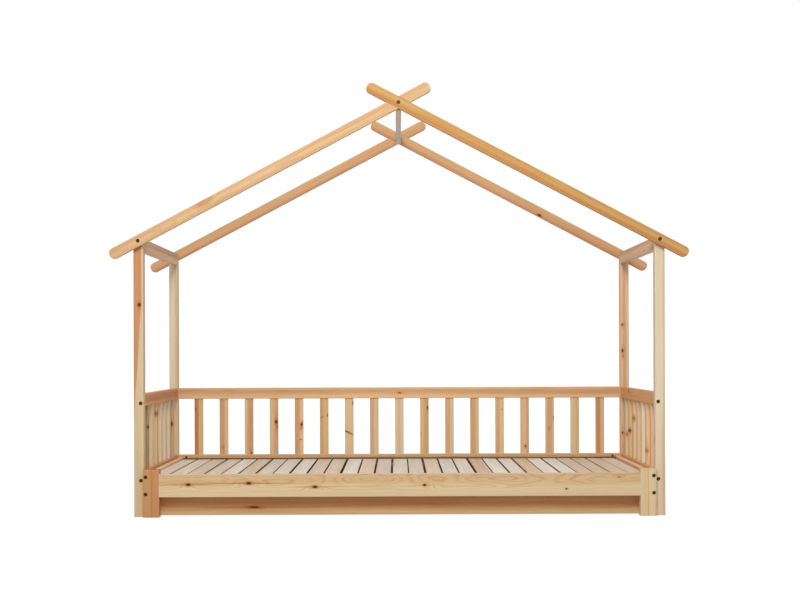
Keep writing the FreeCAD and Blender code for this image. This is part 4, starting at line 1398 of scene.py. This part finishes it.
    def build(self) -> None:
        """Finishes the slats and models the straps and staples."""
        dress("bed_slats", self.slat_material())
        low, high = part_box("slat_straps")
        rows = (low.y + self.strap_width / 2, high.y - self.strap_width / 2)
        straps = join_pieces([self.strap(row, low, high) for row in rows], "slat_webbing")
        straps.data.materials.append(self.webbing.material())
        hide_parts("slat_straps")
        first = self.staple(low.z)
        places = [
            (self.slat_centre(number) + side * self.staple_spread, row + side * self.staple_stagger, 0.0)
            for number in range(self.slat_count) for row in rows for side in (-1, 1)
        ]
        staples = join_pieces([copy_at(first, Vector(place)) for place in places], "slat_staples")
        bpy.data.objects.remove(first)
        staples.data.materials.append(self.staple_metal.material())
        for piece in (straps, staples):
            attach(piece, "slat_base")
            LOG.info("%s: modelled, rides on slat_base", piece.name)

    def strap_stations(self, start: float, end: float) -> list[tuple[float, float]]:
        """Lists where a strap bends: flat under each slat and slack between slats.

        Args:
            start: Where the strap starts along the bed.
            end: Where it ends.

        Returns:
            Each bend's place along the bed and its sag.
        """
        stations = [(start, 0.0)]
        for number in range(self.slat_count):
            centre = self.slat_centre(number)
            for step, sag in ((-0.5, 0.0), (0.5, 0.0), (self.slack_from, self.strap_sag)):
                place = centre + step * self.slat_width
                if stations[-1][0] + self.least_step < place < end - self.least_step:
                    stations.append((place, sag))
        return stations + [(end, 0.0)]

    def strap(self, row: float, low: Vector, high: Vector) -> bpy.types.Object:
        """Models one strap, with a hem folded under at both ends.

        Args:
            row: The strap's middle, across the bed.
            low: Lowest corner of both CAD straps.
            high: Highest corner of both CAD straps.

        Returns:
            The strap.
        """
        stations = self.strap_stations(low.x, high.x)
        first, second = stations[:2]
        piece = new_box(
            Vector(((first[0] + second[0]) / 2, row, high.z - self.strap_thickness / 2)),
            Vector((second[0] - first[0], self.strap_width, self.strap_thickness)),
        )
        bpy.ops.object.mode_set(mode="EDIT")
        select_faces(piece, lambda face: face.normal.x > FACING)
        for before, after in zip(stations[1:], stations[2:]):
            extrude(x=after[0] - before[0], z=before[1] - after[1])
        hem_ends = (low.x + self.hem_length, high.x - self.hem_length)
        for hem_end in hem_ends:
            cut_across((hem_end, 0.0, 0.0), ALONG_BED)
        select_faces(piece, lambda face: face.normal.z < -FACING
                     and not hem_ends[0] < face.calc_center_median().x < hem_ends[1])
        extrude(z=-self.strap_thickness)
        bpy.ops.object.mode_set(mode="OBJECT")
        soften(piece, self.strap_rounding)
        return piece

    def staple(self, underside: float) -> bpy.types.Object:
        """Models one staple: a crown across the strap with both legs turned up into the slat.

        Args:
            underside: The height of the strap's underside.

        Returns:
            The staple, at the middle of the bed.
        """
        piece = new_box(
            Vector((0.0, 0.0, underside + self.staple_bite - self.staple_thickness / 2)),
            Vector((self.staple_width, self.staple_crown, self.staple_thickness)),
        )
        inner = self.staple_crown / 2 - self.staple_width
        bpy.ops.object.mode_set(mode="EDIT")
        for side in (-1, 1):
            cut_across((0.0, side * inner, 0.0), ACROSS_BED)
        select_faces(piece, lambda face: face.normal.z > FACING and abs(face.calc_center_median().y) > inner)
        extrude(z=self.staple_leg)
        bpy.ops.object.mode_set(mode="OBJECT")
        soften(piece, self.staple_rounding)
        return piece


@dataclass
class Hardware:
    """Connector bolts, their barrel nuts and the dowels beside them."""

    bolt: Metal = Metal("dark_bronze_bolt", (82, 55, 27), roughness=0.42, wear=0.2)
    nut: Metal = Metal("dark_bronze_nut", (84, 58, 34), roughness=0.42, wear=0.2)
    dowel: Beech = Beech()

    def dress(self) -> None:
        """Finishes the fasteners."""
        dress("connector_bolts", self.bolt.material())
        dress("barrel_nuts", self.nut.material())
        dress("dowels", self.dowel.material())


@dataclass
class Studio:
    """Plain pale floor, white surround, one large soft light from above the front, and the camera.

    The floor's grey is one value where light bounces off it and another where it is seen, and what
    is seen also glows, more so further out, so that the floor runs into the white surround.
    """

    floor_size: float = 60.0
    floor_bounce: float = 0.62
    floor_shown: float = 0.25
    near_glow: float = 0.86
    far_glow: float = 0.95
    glow_rise: tuple[float, float] = (1.6, 4.5)
    sky: float = 0.5
    key_place: Triple = (-0.3, -3.85, 3.6)
    key_target: Triple = (0.0, -0.2, 0.75)
    key_size: float = 1.9
    key_power: float = 158.0
    camera_place: Triple = (-0.005, -6.461, 0.639)
    camera_lens: float = 68.78
    camera_shift: tuple[float, float] = (0.0025, 0.066)
    camera_roll: float = math.radians(0.206)

    def shown_rays(self, wiring: Wiring) -> bpy.types.NodeSocket:
        """Marks the rays that show the surround itself.

        Args:
            wiring: The wiring of the floor or the surround.

        Returns:
            1 for a ray from the camera, a mirror or glass.
        """
        rays = wiring.add("ShaderNodeLightPath").outputs
        seen = wiring.math("MAXIMUM", rays["Is Camera Ray"], rays["Is Glossy Ray"])
        return wiring.math("MAXIMUM", seen, rays["Is Transmission Ray"])

    def floor_material(self) -> bpy.types.Material:
        """Makes the floor's paint and glow.

        Returns:
            The material.
        """
        surface = Surface("pale_floor")
        surface.tree.nodes.remove(surface.shader)
        far = surface.ease(surface.vector("LENGTH", surface.here()), *self.glow_rise)
        glow = surface.math("MULTIPLY_ADD", far, self.far_glow - self.near_glow, self.near_glow)
        shown = self.shown_rays(surface)
        grey = surface.math("MULTIPLY_ADD", shown, self.floor_shown - self.floor_bounce, self.floor_bounce)
        paint = surface.add("ShaderNodeBsdfDiffuse", surface.join(grey, grey, grey))
        light = surface.add("ShaderNodeEmission", WHITE, surface.math("MULTIPLY", glow, shown))
        both = surface.add("ShaderNodeAddShader", paint.outputs[0], light.outputs[0])
        surface.feed(surface.tree.nodes["Material Output"].inputs["Surface"], both.outputs[0])
        return surface.material

    def build_floor(self) -> None:
        """Lays the floor, pale near the bed and white further out."""
        bpy.ops.object.select_all(action="DESELECT")
        bpy.ops.mesh.primitive_plane_add(size=self.floor_size)
        floor = bpy.context.object
        floor.name = "studio_floor"
        floor.data.materials.append(self.floor_material())

    def build_sky(self) -> None:
        """Makes the surround white to look at and soft as a light."""
        world = bpy.data.worlds.new("studio_surround")
        bpy.context.scene.world = world
        world.use_nodes = True
        wiring = Wiring(world.node_tree)
        strength = wiring.math("MULTIPLY_ADD", self.shown_rays(wiring), 1.0 - self.sky, self.sky)
        backdrop = wiring.tree.nodes["Background"]
        backdrop.inputs["Color"].default_value = WHITE
        wiring.feed(backdrop.inputs["Strength"], strength)

    def build_key(self) -> None:
        """Hangs the large soft light."""
        lamp = bpy.data.lights.new("key_softbox", "AREA")
        lamp.shape = "DISK"
        lamp.size = self.key_size
        lamp.energy = self.key_power
        key = bpy.data.objects.new("key_softbox", lamp)
        bpy.context.collection.objects.link(key)
        key.location = self.key_place
        aim = Vector(self.key_target) - Vector(self.key_place)
        key.rotation_euler = aim.to_track_quat("-Z", "Y").to_euler()

    def build_camera(self) -> None:
        """Sets the camera level and straight on, as the photograph was taken."""
        lens = bpy.data.cameras.new("front_camera")
        lens.lens = self.camera_lens
        lens.shift_x, lens.shift_y = self.camera_shift
        camera = bpy.data.objects.new("front_camera", lens)
        bpy.context.collection.objects.link(camera)
        camera.location = self.camera_place
        camera.rotation_euler = (math.pi / 2, self.camera_roll, 0.0)
        bpy.context.scene.camera = camera

    def build(self) -> None:
        """Builds the whole studio."""
        self.build_floor()
        self.build_sky()
        self.build_key()
        self.build_camera()
        bpy.context.scene.view_settings.view_transform = "Standard"


def main() -> None:
    """Dresses every sub-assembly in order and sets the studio."""
    logging.basicConfig(level=logging.INFO, format="%(name)s: %(message)s")
    CornerPosts().dress()
    Roof().dress()
    for panel in end_panels():
        panel.dress()
    BackPanel().dress()
    FrontEntry().dress()
    BedBase().dress()
    SlatBase().build()
    Hardware().dress()
    Studio().build()


if __name__ == "__main__":
    main()
